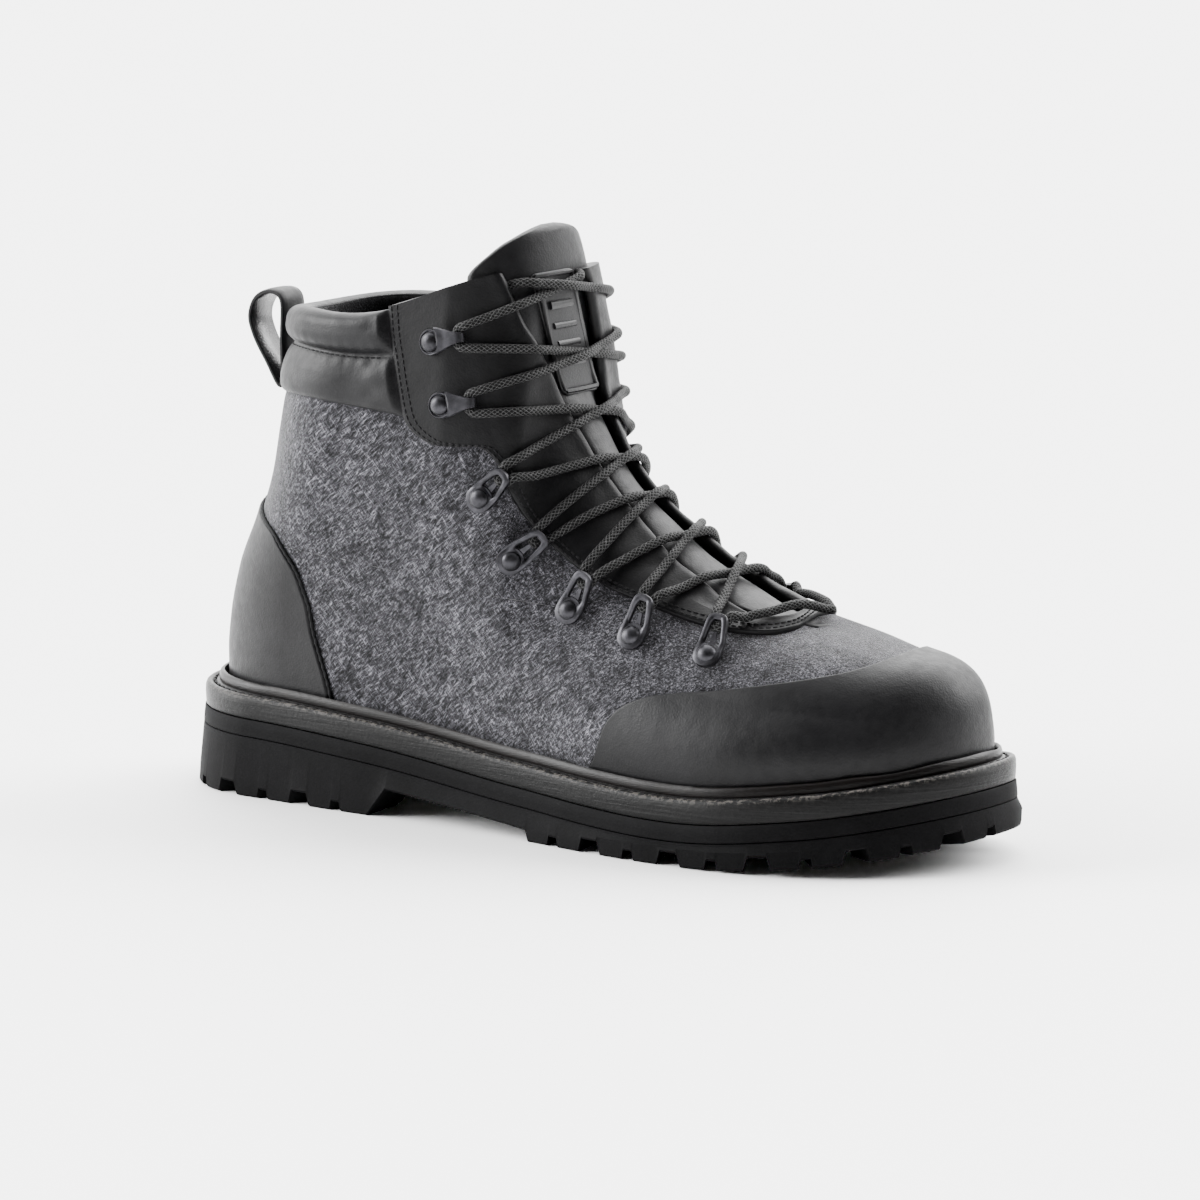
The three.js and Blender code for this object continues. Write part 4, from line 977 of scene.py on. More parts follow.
def edge_lift(distance):
    """The leather's height this far inside its border, with a rounded edge sunk into the felt."""
    closeness = np.clip(distance / EDGE_RADIUS, 0, 1)
    return -EDGE_SUNK + (LEATHER + EDGE_SUNK) * np.sqrt(1 - (1 - closeness) ** 2)


def border_distance(points, border):
    """How far each point lies from the nearest point of the border."""
    flat = points.reshape(-1, 3)
    best = np.full(len(flat), 1e9)
    for start in range(0, len(flat), 4000):
        part = flat[start:start + 4000]
        gaps = np.linalg.norm(part[:, None, :] - border[None, :, :], axis=2)
        best[start:start + 4000] = gaps.min(axis=1)
    return best.reshape(points.shape[:-1])


TOE_CAP_EDGE = [
    (-0.44, 0), (-0.41, 0.09), (-0.335, 0.205), (-0.23, 0.255), (-0.125, 0.28), (0, 0.317),
    (0.125, 0.28), (0.23, 0.255), (0.335, 0.205), (0.41, 0.09), (0.44, 0),
]
# How far round the toe cap reaches, and the height of the overlays' hidden side
TOE_CAP_REACH = 0.44
UNDERSIDE = -0.35
COUNTER_EDGE = [
    (0, 0.225), (0.17, 0.207), (0.365, 0.205), (0.495, 0.18), (0.56, 0.12), (0.588, 0.06), (0.6, 0.0),
]


def make_toe_cap():
    top = table_curve(TOE_CAP_EDGE, 1)
    around = TOE_CAP_REACH * np.sin(np.linspace(-np.pi / 2, np.pi / 2, 260))
    fine = np.linspace(-TOE_CAP_REACH, TOE_CAP_REACH, 900)
    border = surface(top(fine), fine)
    drop = np.r_[0, 0.002, 0.004, 0.007, 0.012, 0.02, np.linspace(0.03, 1, 70)]
    level = np.maximum(top(around)[None, :], 0.0008) * (1 - drop)[:, None]
    around = np.repeat(around[None, :], len(drop), axis=0)
    distance = border_distance(surface(level, around), border)
    outer = surface(level, around, edge_lift(distance) + toe_creases(level, around))
    piece = shell("leather_toe_cap", outer, surface(level, around, UNDERSIDE), LOOKS["leather"])
    finish_piece(piece, "leather", "toe_cap")


def toe_creases(level, around):
    """Pull wrinkles along the bottom edge at the toe, and a faint flat on the side."""
    foot = np.exp(-(level / 0.05) ** 2)
    side = np.exp(-((np.abs(around) - 0.17) / 0.07) ** 2)
    ripple = 0.16 * foot * side * np.sin(around * 260)
    hollow = -0.5 * np.exp(-((level - 0.13) / 0.06) ** 2 - ((np.abs(around) - 0.25) / 0.05) ** 2)
    return ripple + hollow


def make_counter():
    half = table_curve(COUNTER_EDGE, 1)
    level = 0.5999 * np.sin(np.linspace(0, np.pi / 2, 120))[::-1]
    fine = 0.6 * np.sin(np.linspace(0, np.pi / 2, 500))
    border = np.concatenate([surface(fine, 1 + side * half(fine)) for side in (-1, 1)])
    spread = np.r_[0, 0.01, 0.02, 0.04, 0.07, np.linspace(0.1, 1.9, 110), 1.93, 1.96, 1.98, 1.99, 2] - 1
    around = 1 + half(level)[:, None] * spread[None, :]
    level = np.repeat(level[:, None], len(spread), axis=1)
    outer = surface(level, around, edge_lift(border_distance(surface(level, around), border)))
    piece = shell("leather_counter", outer, surface(level, around, UNDERSIDE), LOOKS["leather"])
    finish_piece(piece, "leather", "heel_counter")
    for side, name in ((-1, "outer"), (1, "inner")):
        at = np.linspace(0.0, 0.598, 160)
        trim_border(f"counter_border_{name}", at, 1 + side * (half(at) + 0.0015))


def trim_border(name, level, around):
    """The raised overlocked edge: a thin cord with a twist."""
    path = surface(level, around, 0.55)
    finish_piece(tube(name, path, 0.75, 8, twist=1.6, depth=0.16, material=LOOKS["thread"]), "lace")


def resample(path, step):
    """A path in even steps of about this length, with the run at each point."""
    run = np.r_[0, np.cumsum(np.linalg.norm(np.diff(path, axis=0), axis=1))]
    count = max(4, int(round(run[-1] / step)))
    at = np.linspace(0, run[-1], count + 1)
    return np.stack([np.interp(at, run, path[:, k]) for k in range(3)], axis=1), at


def frames_along(path):
    """Tangents and two cross directions along a path, without twist."""
    tangent = np.gradient(path, axis=0)
    tangent /= np.linalg.norm(tangent, axis=1, keepdims=True)
    side = np.cross(tangent[0], (0.3, 0.2, 1.0))
    side /= np.linalg.norm(side)
    sides = []
    for direction in tangent:
        side = side - direction * np.dot(side, direction)
        side /= np.linalg.norm(side)
        sides.append(side)
    sides = np.array(sides)
    return tangent, sides, np.cross(tangent, sides)


BRAID_PITCH = 5.2


def tube(name, path, radius, sides, twist=0.0, depth=0.0, material=None, step=None, braid=False):
    """A round cord along a path; a twist or a braid raises its surface."""
    path, run = resample(path, step or radius * 0.5)
    _, right, up = frames_along(path)
    angle = 2 * np.pi * np.arange(sides) / sides
    if braid:
        turn = run[:, None] * (2 * np.pi / (radius * BRAID_PITCH))
        raised = np.maximum(np.cos(4 * angle[None, :] + 2 * turn), np.cos(4 * angle[None, :] - 2 * turn))
    else:
        raised = np.cos(2 * angle[None, :] + run[:, None] * twist / radius)
    reach = radius * (1 - depth + depth * raised)
    ring = np.cos(angle)[None, :, None] * right[:, None, :] + np.sin(angle)[None, :, None] * up[:, None, :]
    points = path[:, None, :] + ring * reach[..., None]
    rows = len(path)
    faces = [face[::-1] for face in grid_faces(rows, sides, 0, True)]
    faces.append(tuple(range(sides)))
    faces.append(tuple(range((rows - 1) * sides, rows * sides))[::-1])
    piece = add_mesh(name, points, faces, material)
    if braid:
        paint(piece, "braid_run", np.repeat(run, sides))
        paint(piece, "braid_cos", np.tile(np.cos(angle), rows))
        paint(piece, "braid_sin", np.tile(np.sin(angle), rows))
    return piece


# The collar's section: rise between its bottom edge and the rim, height above the felt
COLLAR_SECTION = [
    (0.0, -0.6), (0.0, 0.9), (0.012, 1.5), (0.05, 2.3), (0.12, 2.9), (0.22, 3.25), (0.32, 3.25),
    (0.42, 2.9), (0.5, 2.2), (0.545, 1.5), (0.565, 1.0), (0.577, 0.85), (0.59, 1.1), (0.612, 2.0),
    (0.65, 3.5), (0.7, 4.5), (0.76, 5.0), (0.83, 5.0), (0.9, 4.4), (0.955, 3.1), (0.99, 1.5),
    (1.005, -0.3), (1.0, -2.3), (0.98, -4.2),
]
LINING_SECTION = [
    (0.99, -2.2), (1.0, -2.8), (0.98, -4.0), (0.93, -5.0), (0.8, -5.4), (0.6, -4.8), (0.4, -3.6), (0.0, -2.5),
    (-0.4, -2.3),
]
COLLAR_EDGE = [(0.44, 0.86), (0.462, 0.865), (0.595, 0.87), (0.89, 0.85), (1.0, 0.845)]
# Where the collar starts under the facing and where the facing's edge crosses it, bottom and top
COLLAR_FRONT = (0.435, 0.485)
COLLAR_SEAM = (0.452, 0.499)
PADDING_STEP = 0.026
# The collar's height under the facing, where it has no padding
UNPADDED = 1.1


def collar_places(rise, places):
    """Places round one side at a rise, and how far the padding has set in past the seam."""
    share = min(max(rise, 0), 1)
    front = COLLAR_FRONT[0] + (COLLAR_FRONT[1] - COLLAR_FRONT[0]) * share
    seam = COLLAR_SEAM[0] + (COLLAR_SEAM[1] - COLLAR_SEAM[0]) * share
    turn = front + (1 - front) * places
    return turn, smooth((turn - seam) / PADDING_STEP)


def mirrored(values):
    """Values from one side's front to the back, and back again along the other side."""
    return np.r_[values, values[-2::-1]]


def section_grid(section, padding):
    """A section swept round the collar from the front of one side to the other."""
    bottom = table_curve(COLLAR_EDGE, 1)
    places = np.unique(np.r_[np.linspace(0, 0.14, 22), np.linspace(0.14, 1, 84)])
    rows = []
    for rise, out in section:
        turn, padded = collar_places(rise, places)
        level = bottom(turn) + (1 - bottom(turn)) * rise
        height = np.full_like(turn, out)
        if padding and out > 0:
            height = min(out, UNPADDED) + (out - min(out, UNPADDED)) * padded
            height = height + collar_creases(turn, rise) * smooth(out / 3)
        rows.append(surface(mirrored(level), np.r_[-turn, turn[-2::-1]], mirrored(height)))
    return np.array(rows)


def collar_creases(turn, rise):
    """Soft gathers in the padded rolls near the front seam, at the crease and at the back."""
    fold = np.exp(-((turn - 0.53) / 0.022) ** 2) * math.sin(rise * 19 + 1)
    tucks = np.sin(turn * 190 + rise * 4) * math.exp(-((rise - 0.577) / 0.1) ** 2) * 0.16
    back = -0.4 * np.exp(-((turn - 1) / 0.01) ** 2)
    wave = 0.22 * np.sin(turn * 37 + 2) * math.sin(rise * 6)
    return 0.35 * fold + tucks + back + wave


# The collar's height from its bottom edge to the rim, in millimetres
COLLAR_HEIGHT = 26


def smooth_section(section, count):
    """A section's rows of rise and height, smoothed and evenly spaced."""
    rows = np.array(section, float)
    run = np.r_[0, np.cumsum(np.hypot(np.diff(rows[:, 0]) * COLLAR_HEIGHT, np.diff(rows[:, 1])))]
    rise, height = curve(run, rows[:, 0]), curve(run, rows[:, 1])
    return [(float(rise(s)), float(height(s))) for s in np.linspace(0, run[-1], count)]


def make_collar():
    grid = section_grid(smooth_section(COLLAR_SECTION, 72), True)
    piece = add_mesh("leather_collar", grid, swept_faces(*grid.shape[:2]), LOOKS["leather"])
    finish_piece(piece, "leather", "collar")
    inside = section_grid(smooth_section(LINING_SECTION, 26), False)
    lining = add_mesh("collar_lining", inside, swept_faces(*inside.shape[:2]), LOOKS["lining"])
    finish_piece(lining, "lining")


# The tongue: half widths in millimetres at each level
TONGUE_SHAPE = [
    (0.44, 14), (0.5, 21), (0.7, 26), (0.85, 31), (0.95, 36), (1.01, 36), (1.05, 28.5), (1.085, 18),
    (1.1, 10), (1.108, 4),
]
# How far the tongue's middle lies to the outer side at each level
TONGUE_SHIFT = [(0.44, 0), (0.86, 0), (0.94, 5), (1.0, 8), (1.05, 5), (1.085, 3.5), (1.108, 2)]
# Across the opening from the near fold (0) to the far one (1): height above the felt's line
TONGUE_FOLDS = [
    (-0.6, -3.6), (-0.25, -3.2), (-0.08, -2.2), (0.04, -0.6), (0.14, 0.2), (0.35, 0.6), (0.6, 0.5),
    (0.74, 0.1), (0.82, -1.3), (0.88, -2.8), (0.95, -3.3), (1.1, -3.3), (1.5, -3.6),
]


# The tongue's top level, the middle of its padding, and how far in it is rounded at its rim and crown
TONGUE_TOP = TONGUE_SHAPE[-1][0]
TONGUE_MIDDLE, TONGUE_THICKNESS = -5.6, 2.6
TONGUE_RIM, TONGUE_CROWN = 3.0, 3.5
LEVEL_LENGTH = 150


def make_tongue():
    """Folds fill the throat below; the top, above the facings, is a plain padded flap."""
    half = table_curve(TONGUE_SHAPE, 1)
    fold = curve(column(TONGUE_FOLDS, 0), column(TONGUE_FOLDS, 1))
    level = np.unique(np.r_[np.linspace(0.44, 1.0, 110), np.linspace(1.0, 1.09, 30),
                            np.linspace(1.09, TONGUE_TOP, 14)])
    spread = np.sin(np.linspace(-np.pi / 2, np.pi / 2, 121))
    near, far = throat_edges(level)
    distance = spread[None, :] * half(level)[:, None] - table_curve(TONGUE_SHIFT, 1)(level)[:, None]
    levels = np.repeat(level[:, None], len(spread), axis=1)
    around = around_of(distance, levels)
    folded = fold((around + near[:, None]) / (far + near)[:, None])
    flat = -2.6 + 1.6 * np.cos(np.pi / 2 * np.clip(np.abs(spread), 0, 1))[None, :] ** 2
    top = smooth((levels - 0.845) / 0.06)
    height = folded * (1 - top) + flat * top
    rim = np.clip((1 - np.abs(spread))[None, :] * half(level)[:, None] / TONGUE_RIM, 0, 1)
    crown = np.clip((TONGUE_TOP - levels) * LEVEL_LENGTH / TONGUE_CROWN, 0, 1)
    rounded = np.sqrt(1 - (1 - rim) ** 2) * np.sqrt(1 - (1 - crown) ** 2)
    outer = surface(levels, around, TONGUE_MIDDLE + (height - TONGUE_MIDDLE) * rounded)
    inner = surface(levels, around, TONGUE_MIDDLE - TONGUE_THICKNESS * rounded)
    piece = shell("leather_tongue", outer, inner, LOOKS["leather"])
    finish_piece(piece, "leather", "tongue")


# The patch on the tongue: a plain rounded plate, a raised border and a few plain bars
PATCH_LOW, PATCH_HIGH, PATCH_HALF = 0.883, 0.994, 11.0
PATCH_CORNER = 3.0
PATCH_EDGE = 0.4
# How far it leans to the outer side at its top, and its millimetres to a level
PATCH_SHIFT = 10.0
PATCH_SCALE = float(np.linalg.norm(surface(PATCH_HIGH, -0.045) - surface(PATCH_LOW, -0.045))) / (
    PATCH_HIGH - PATCH_LOW)
# The border's rails and the bars: inset from the edge, half width, height
RAIL_INSET, RAIL_HALF, RAIL_TOP = 1.6, 0.9, 0.75
BAR_SHARES = (0.26, 0.42, 0.58, 0.74)
BAR_INSET, BAR_HALF, BAR_TOP = 4.8, 1.1, 0.8


def bar_grid(level, x, out):
    """Points on the patch, which leans to the outer side as it rises."""
    shift = PATCH_SHIFT * (level - PATCH_LOW) / (PATCH_HIGH - PATCH_LOW)
    return surface(level, around_of(x - shift, level), out)


def rounded_plate(base, top, steps=8):
    """A rounded rectangle that follows the tongue, as a closed pillow of rings."""
    tall = (PATCH_HIGH - PATCH_LOW) / 2 * PATCH_SCALE
    angles = np.concatenate([np.linspace(a, a + np.pi / 2, steps) for a in np.arange(4) * np.pi / 2])
    signs = np.repeat([(1, 1), (-1, 1), (-1, -1), (1, -1)], steps, axis=0)
    rows = []
    for inset, out in ((0, base), (0, top - PATCH_EDGE), (PATCH_EDGE * 0.3, top - PATCH_EDGE * 0.3),
                       (PATCH_EDGE, top), (PATCH_CORNER * 0.8, top)):
        corner = PATCH_CORNER - min(inset, PATCH_CORNER)
        x = signs[:, 0] * (PATCH_HALF - PATCH_CORNER) + np.cos(angles) * corner
        y = signs[:, 1] * (tall - PATCH_CORNER) + np.sin(angles) * corner
        rows.append(bar_grid((PATCH_HIGH + PATCH_LOW) / 2 + y / PATCH_SCALE, x, out))
    grid = np.array(rows)
    count = grid.shape[1]
    faces = grid_faces(*grid.shape[:2], 0, True)
    faces.append(tuple(range(count))[::-1])
    faces.append(tuple(range((len(rows) - 1) * count, len(rows) * count)))
    return grid.reshape(-1, 3), faces


def bar_solid(start, end, half, top):
    """A raised bar between two places on the patch, given as level and distance from the ridge."""
    steps = np.linspace(0, 1, 9)
    direction = np.array([(end[0] - start[0]) * PATCH_SCALE, end[1] - start[1]], float)
    normal = np.array([-direction[1], direction[0]]) / np.hypot(*direction)
    rows = []
    for across, out in ((-1, -0.5), (-1, top * 0.5), (-0.6, top), (0.6, top), (1, top * 0.5), (1, -0.5)):
        level = start[0] + (end[0] - start[0]) * steps + across * half * normal[0] / PATCH_SCALE
        x = start[1] + (end[1] - start[1]) * steps + across * half * normal[1]
        rows.append(bar_grid(level, x, out))
    return np.array(rows).reshape(-1, 3), swept_faces(len(rows), len(steps))


def make_patch():
    low, high = PATCH_LOW + RAIL_INSET / PATCH_SCALE, PATCH_HIGH - RAIL_INSET / PATCH_SCALE
    reach = PATCH_HALF - RAIL_INSET
    parts = [rounded_plate(-3.0, 0.0)]
    parts += [bar_solid((low, x), (high, x), RAIL_HALF, RAIL_TOP) for x in (-reach, reach)]
    parts += [bar_solid((level, -reach), (level, reach), RAIL_HALF, RAIL_TOP) for level in (low, high)]
    reach = PATCH_HALF - BAR_INSET
    for level in (low + (high - low) * share for share in BAR_SHARES):
        parts.append(bar_solid((level, -reach), (level, reach), BAR_HALF, BAR_TOP))
    piece = add_mesh("tongue_plate", *merged(parts), LOOKS["patch"], 45)
    finish_piece(piece, "patch_rubber", "tongue_patch")


# The pull loop: its line from the side, as shares of its depth backwards and of its rise
LOOP_LINE = [
    (0, 0.08), (0, 0.5), (0, 0.9), (0.35, 1), (0.8, 0.92), (1, 0.72), (0.86, 0.5), (0.5, 0.24), (0.18, 0.02),
]
LOOP_TOP, LOOP_BOTTOM, LOOP_SEAT = 1.03, 0.77, 0.84
LOOP_WIDTH, LOOP_THICKNESS, LOOP_DEPTH = 13.0, 1.6, 15.0
# How far its seat stands off the back of the upper, and the side of its section that glosses
LOOP_STANDOFF = 8.5
LOOP_INSIDE = 7


def closed_spline(points, count):
    """A smooth closed line through points."""
    points = np.asarray(points, float)
    n = len(points)
    return np.array([spline_point(*(points[(i + k) % n] for k in (-1, 0, 1, 2)), t)
                     for i in range(n) for t in np.arange(0, 1, n / count)])


def make_pull_loop():
    seat = float(back_x(LOOP_SEAT * SHAFT_HEIGHT)) - LOOP_STANDOFF
    rise = (LOOP_TOP - LOOP_BOTTOM) * SHAFT_HEIGHT
    line = [(seat - back * LOOP_DEPTH, HEEL_DECK + LOOP_BOTTOM * SHAFT_HEIGHT + up * rise)
            for back, up in LOOP_LINE]
    line = closed_spline(line, 90)
    tangent = np.roll(line, -1, axis=0) - np.roll(line, 1, axis=0)
    tangent /= np.linalg.norm(tangent, axis=1, keepdims=True)
    inward = np.stack([tangent[:, 1], -tangent[:, 0]], axis=1)
    centre = line.mean(axis=0)
    if np.mean(np.sum(inward * (centre - line), axis=1)) < 0:
        inward = -inward
    half = LOOP_WIDTH / 2
    section = [
        (-half + 0.5, 0), (-half * 0.5, -0.25), (0, -0.3), (half * 0.5, -0.25), (half - 0.5, 0), (half, 0.4),
        (half, LOOP_THICKNESS - 0.4), (half - 0.5, LOOP_THICKNESS), (-half + 0.5, LOOP_THICKNESS),
        (-half, LOOP_THICKNESS - 0.4), (-half, 0.4),
    ]
    loops = []
    for y, inset in section:
        flat = line + inward * inset
        loops.append(np.stack([flat[:, 0], np.full(len(flat), y), flat[:, 1]], axis=1))
    piece = closed_sweep("leather_pull_loop", loops, LOOKS["leather"], 50)
    piece.data.materials.append(LOOKS["gloss_leather"])
    for face in piece.data.polygons:
        if face.index // len(line) == LOOP_INSIDE:
            face.material_index = 1
    finish_piece(piece, "leather", "pull_loop")


# Lace hardware: level and around of the rivet, then of the tip
RING_ROWS = [
    (0.754, 0.334, 0.8, 0.254), (0.609, 0.37, 0.683, 0.277), (0.46, 0.356, 0.571, 0.263),
    (0.408, 0.299, 0.512, 0.212), (0.368, 0.226, 0.45, 0.159),
]
HOOK_ROWS = [(0.949, 0.379, 0.946, 0.296), (0.88, 0.361, 0.882, 0.278)]
RING_SEAT, HOOK_SEAT = 1.7, 1.7
# Half the ring's plate by length and half width, and the hole's ends with its half widths
RING_LENGTHS = [-4.75, -4.5, -3.6, -1.8, 0.6, 3.5, 7.0, 10.0, 12.4, 13.6, 14.05]
RING_HALVES = [0.0, 1.5, 3.1, 4.4, 4.75, 4.6, 4.2, 3.85, 3.4, 2.2, 0.0]
HOLE_START, HOLE_END = 3.6, 11.6
# The plate's section from its outline (0) to its hole (1), with heights
RING_SECTION = [
    (0, 0.15), (0, 1.5), (0.12, 1.85), (0.5, 2.0), (0.85, 1.85), (1, 1.5), (1, 0.15), (0.5, -0.1),
]
RING_BASE = [(0, -0.3), (4.5, -0.3), (4.7, 0.2), (4.7, 0.9), (4.4, 1.2), (0, 1.2)]
POST_START, POST_END = 3.2, 9.2
TIP_LIFT = 3.0
# The hook's line: along, height, half width; then its section and its base
HOOK_PATH = [
    (2.0, 0.5, 3.0), (7.0, 0.5, 2.5), (10.6, 0.6, 2.0), (12.9, 1.2, 1.8), (13.6, 2.7, 1.75),
    (12.9, 4.3, 1.8), (10.5, 4.8, 2.5), (7.6, 5.0, 3.5), (5.4, 5.2, 4.25), (4.3, 5.35, 4.45),
]
HOOK_SECTION = [
    (-1, 0), (-0.9, 1), (-0.5, 1), (0, 1), (0.5, 1), (0.9, 1), (1, 0), (0.9, -1), (0.5, -1), (0, -1),
    (-0.5, -1), (-0.9, -1),
]
HOOK_BASE = [
    (0, -0.3), (4.3, -0.3), (4.4, 0.1), (4.4, 1.3), (4.2, 1.55), (3.9, 1.5), (3.75, 0.9), (0, 0.9),
]
HOOK_STEPS = 44
HALF_THICKNESS = 0.55
BLADE_HUG = 1.5


def hardware_frame(row, side, seat):
    """Foot point and three directions: towards the tip, across, and away from the upper."""
    level, around, tip_level, tip_around = row
    foot = surface(level, side * around, seat)
    normal = normal_at(level, side * around)
    tip = surface(tip_level, side * tip_around, seat)
    along = tip - foot
    along = along - normal * np.dot(along, normal)
    along /= np.linalg.norm(along)
    return foot, along, np.cross(normal, along), normal


def placed(points, where):
    """Points of a fitting's own frame in the boot's."""
    foot, along, across, normal = where
    points = np.asarray(points, float)
    return foot + points[..., :1] * along + points[..., 1:2] * across + points[..., 2:3] * normal


def lathe(profile, segments=28):
    """Points and faces of a turned solid; the profile starts and ends on the axis."""
    profile = np.array(profile, float)
    angle = 2 * np.pi * np.arange(segments) / segments
    rows = [np.stack([r * np.cos(angle), r * np.sin(angle), np.full(segments, z)], 1)
            for r, z in profile[1:-1]]
    points = np.concatenate([[[0, 0, profile[0][1]]], *rows, [[0, 0, profile[-1][1]]]])
    last = len(points) - 1
    faces = [(0, 1 + (j + 1) % segments, 1 + j) for j in range(segments)]
    faces += grid_faces(len(rows), segments, 1, True)
    top = 1 + (len(rows) - 1) * segments
    faces += [(top + j, top + (j + 1) % segments, last) for j in range(segments)]
    return points, faces


RIVET_PROFILE = [
    (0, -0.6), (3.3, -0.6), (3.35, 1.6), (3.3, 1.9), (3.1, 2.3), (2.7, 2.8), (2.1, 3.25), (1.3, 3.55),
    (0.6, 3.7), (0, 3.75),
]


def ring_outline(samples=72):
    """The teardrop plate's outline, as a closed line of points."""
    run = np.r_[0, np.cumsum(np.hypot(np.diff(RING_LENGTHS), np.diff(RING_HALVES)))]
    at = np.linspace(0, 1, samples // 2) * run[-1]
    upper = np.stack([curve(run, RING_LENGTHS)(at), curve(run, RING_HALVES)(at)], axis=1)
    return np.concatenate([upper, upper[-2:0:-1] * (1, -1)])


def ring_hole(outline):
    """The hole's line, matched point for point to the outline."""
    x = np.clip(outline[:, 0], HOLE_START, HOLE_END)
    half = np.interp(x, [HOLE_START, HOLE_START + 0.8, HOLE_END - 1.5, HOLE_END], [2.5, 2.9, 1.9, 1.2])
    return np.stack([x, np.clip(outline[:, 1] * 3, -half, half)], axis=1)


def bend(points):
    """Lifts the plate's free end off the leather, so that the lace passes under it."""
    points[..., 2] += TIP_LIFT * smooth((points[..., 0] - 3.0) / 9.5)
    return points


def make_ring(name, node, where):
    """A round plate drawn out to a blunt tip, with raised rails, and its rivet."""
    outline = ring_outline()
    hole = ring_hole(outline)
    plate = bend(np.array([np.column_stack([outline * (1 - share) + hole * share, np.full(len(outline), z)])
                           for share, z in RING_SECTION]))
    x = np.linspace(POST_START, POST_END, 9)
    half = np.interp(x, [POST_START, 6, POST_END], [1.5, 1.0, 0.5])
    post = bend(np.array([np.column_stack([x, half * across, np.full(len(x), z)])
                          for across, z in ((-1, 0.2), (-0.8, 0.75), (0.8, 0.75), (1, 0.2))]))
    post[..., 2] -= 0.4 * smooth((post[..., 0] - 3) / 6)
    points, faces = merged([(plate, grid_faces(*plate.shape[:2], 0, True, True)), lathe(RING_BASE),
                            (post, swept_faces(*post.shape[:2])), lathe(RIVET_PROFILE)])
    finish_piece(add_mesh(name, placed(points, where), faces, LOOKS["gunmetal"], 40), "gunmetal", node)


def make_hook(name, node, where):
    """A round base with a neck that folds back over itself into a flared blade."""
    path = np.array(HOOK_PATH)
    run = np.r_[0, np.cumsum(np.hypot(np.diff(path[:, 0]), np.diff(path[:, 1])))]
    at = np.linspace(0, run[-1], HOOK_STEPS)
    x, z, half = (curve(run, path[:, k])(at) for k in range(3))
    direction = np.stack([np.gradient(x), np.gradient(z)], axis=1)
    direction /= np.linalg.norm(direction, axis=1, keepdims=True)
    blade = smooth((np.linspace(0, 1, HOOK_STEPS) - 0.8) / 0.2)
    rows = []
    for across, out in HOOK_SECTION:
        hug, thick = BLADE_HUG * (1 - across ** 2) * blade, out * HALF_THICKNESS
        rows.append(np.stack([x + hug - direction[:, 1] * thick, half * across,
                              z + direction[:, 0] * thick], axis=1))
    grid = np.array(rows)
    points, faces = merged([(grid, swept_faces(*grid.shape[:2])), lathe(HOOK_BASE), lathe(RIVET_PROFILE)])
    finish_piece(add_mesh(name, placed(points, where), faces, LOOKS["gunmetal"], 40), "gunmetal", node)


def make_hardware():
    for side, side_name in ((-1, "lateral"), (1, "medial")):
        for kind, make, rows, seat in (("ring", make_ring, RING_ROWS, RING_SEAT),
                                       ("hook", make_hook, HOOK_ROWS, HOOK_SEAT)):
            for i, row in enumerate(rows, 1):
                name = f"{kind}_{side_name}_{i}"
                make(name, f"lace_{name}", hardware_frame(row, side, seat))


# The lace: through each ring and hook in turn, crossing over the tongue
# A turn from one side to the other, in the ring's or hook's own frame: along, across, height
RING_TURN = [
    (15.0, 2.7, 1.95), (12.9, 2.2, 1.75), (10.9, 1.8, 1.75), (9.8, 0.8, 1.8),
    (9.8, -0.8, 1.8), (10.9, -1.8, 1.75), (12.9, -2.2, 1.75), (15.0, -2.7, 1.95),
]
HOOK_TURN = [
    (14.8, 3.7, 2.5), (13.0, 3.3, 2.6), (11.7, 2.0, 2.65), (11.3, 0, 2.65),
    (11.7, -2.0, 2.65), (13.0, -3.3, 2.6), (14.8, -3.7, 2.5),
]


def place_of(point):
    """The level, the place around and the height above the felt of a point near the upper."""
    row, col = divmod(int(np.argmin(np.sum((SURFACE - point) ** 2, axis=2))), COLUMNS)
    level, around = LEVELS[row], 2 * col / COLUMNS - 1
    for _ in range(4):
        here = surface(level, around)
        by_level = (surface(level + NUDGE, around) - here) / NUDGE
        by_around = (surface(level, around + NUDGE) - here) / NUDGE
        step = np.linalg.lstsq(np.stack([by_level, by_around], axis=1), point - here, rcond=None)[0]
        level, around = level + step[0], around + step[1]
    return level, around, float(np.dot(point - surface(level, around), normal_at(level, around)))


# The facing's height under the lace at distances from its folded edge
FOLD_HEIGHT = curve([-1, 0, 1, 2, 4, 7, 11, 20], [2.3, 2.3, 2.35, 2.4, 2.25, 1.9, 1.75, 1.7])
STRAND_STEPS = 28
STRAND_ROUNDS = 520
STRAND_PULL = 0.9
# How much higher or lower a strand lies where it crosses over or under the other
OVER_HUMP, UNDER_DIP = 2.0, 0.75
NUDGE = 0.002


def throat_distance(level, around):
    """How far outside the facings' folded edges a place lies, in millimetres."""
    near, far = throat_edges(level)
    lateral = around < 0
    length = np.where(lateral, half_length(level, -1), half_length(level, 1))
    return (np.abs(around) - np.where(lateral, near, np.maximum(far, 0))) * length


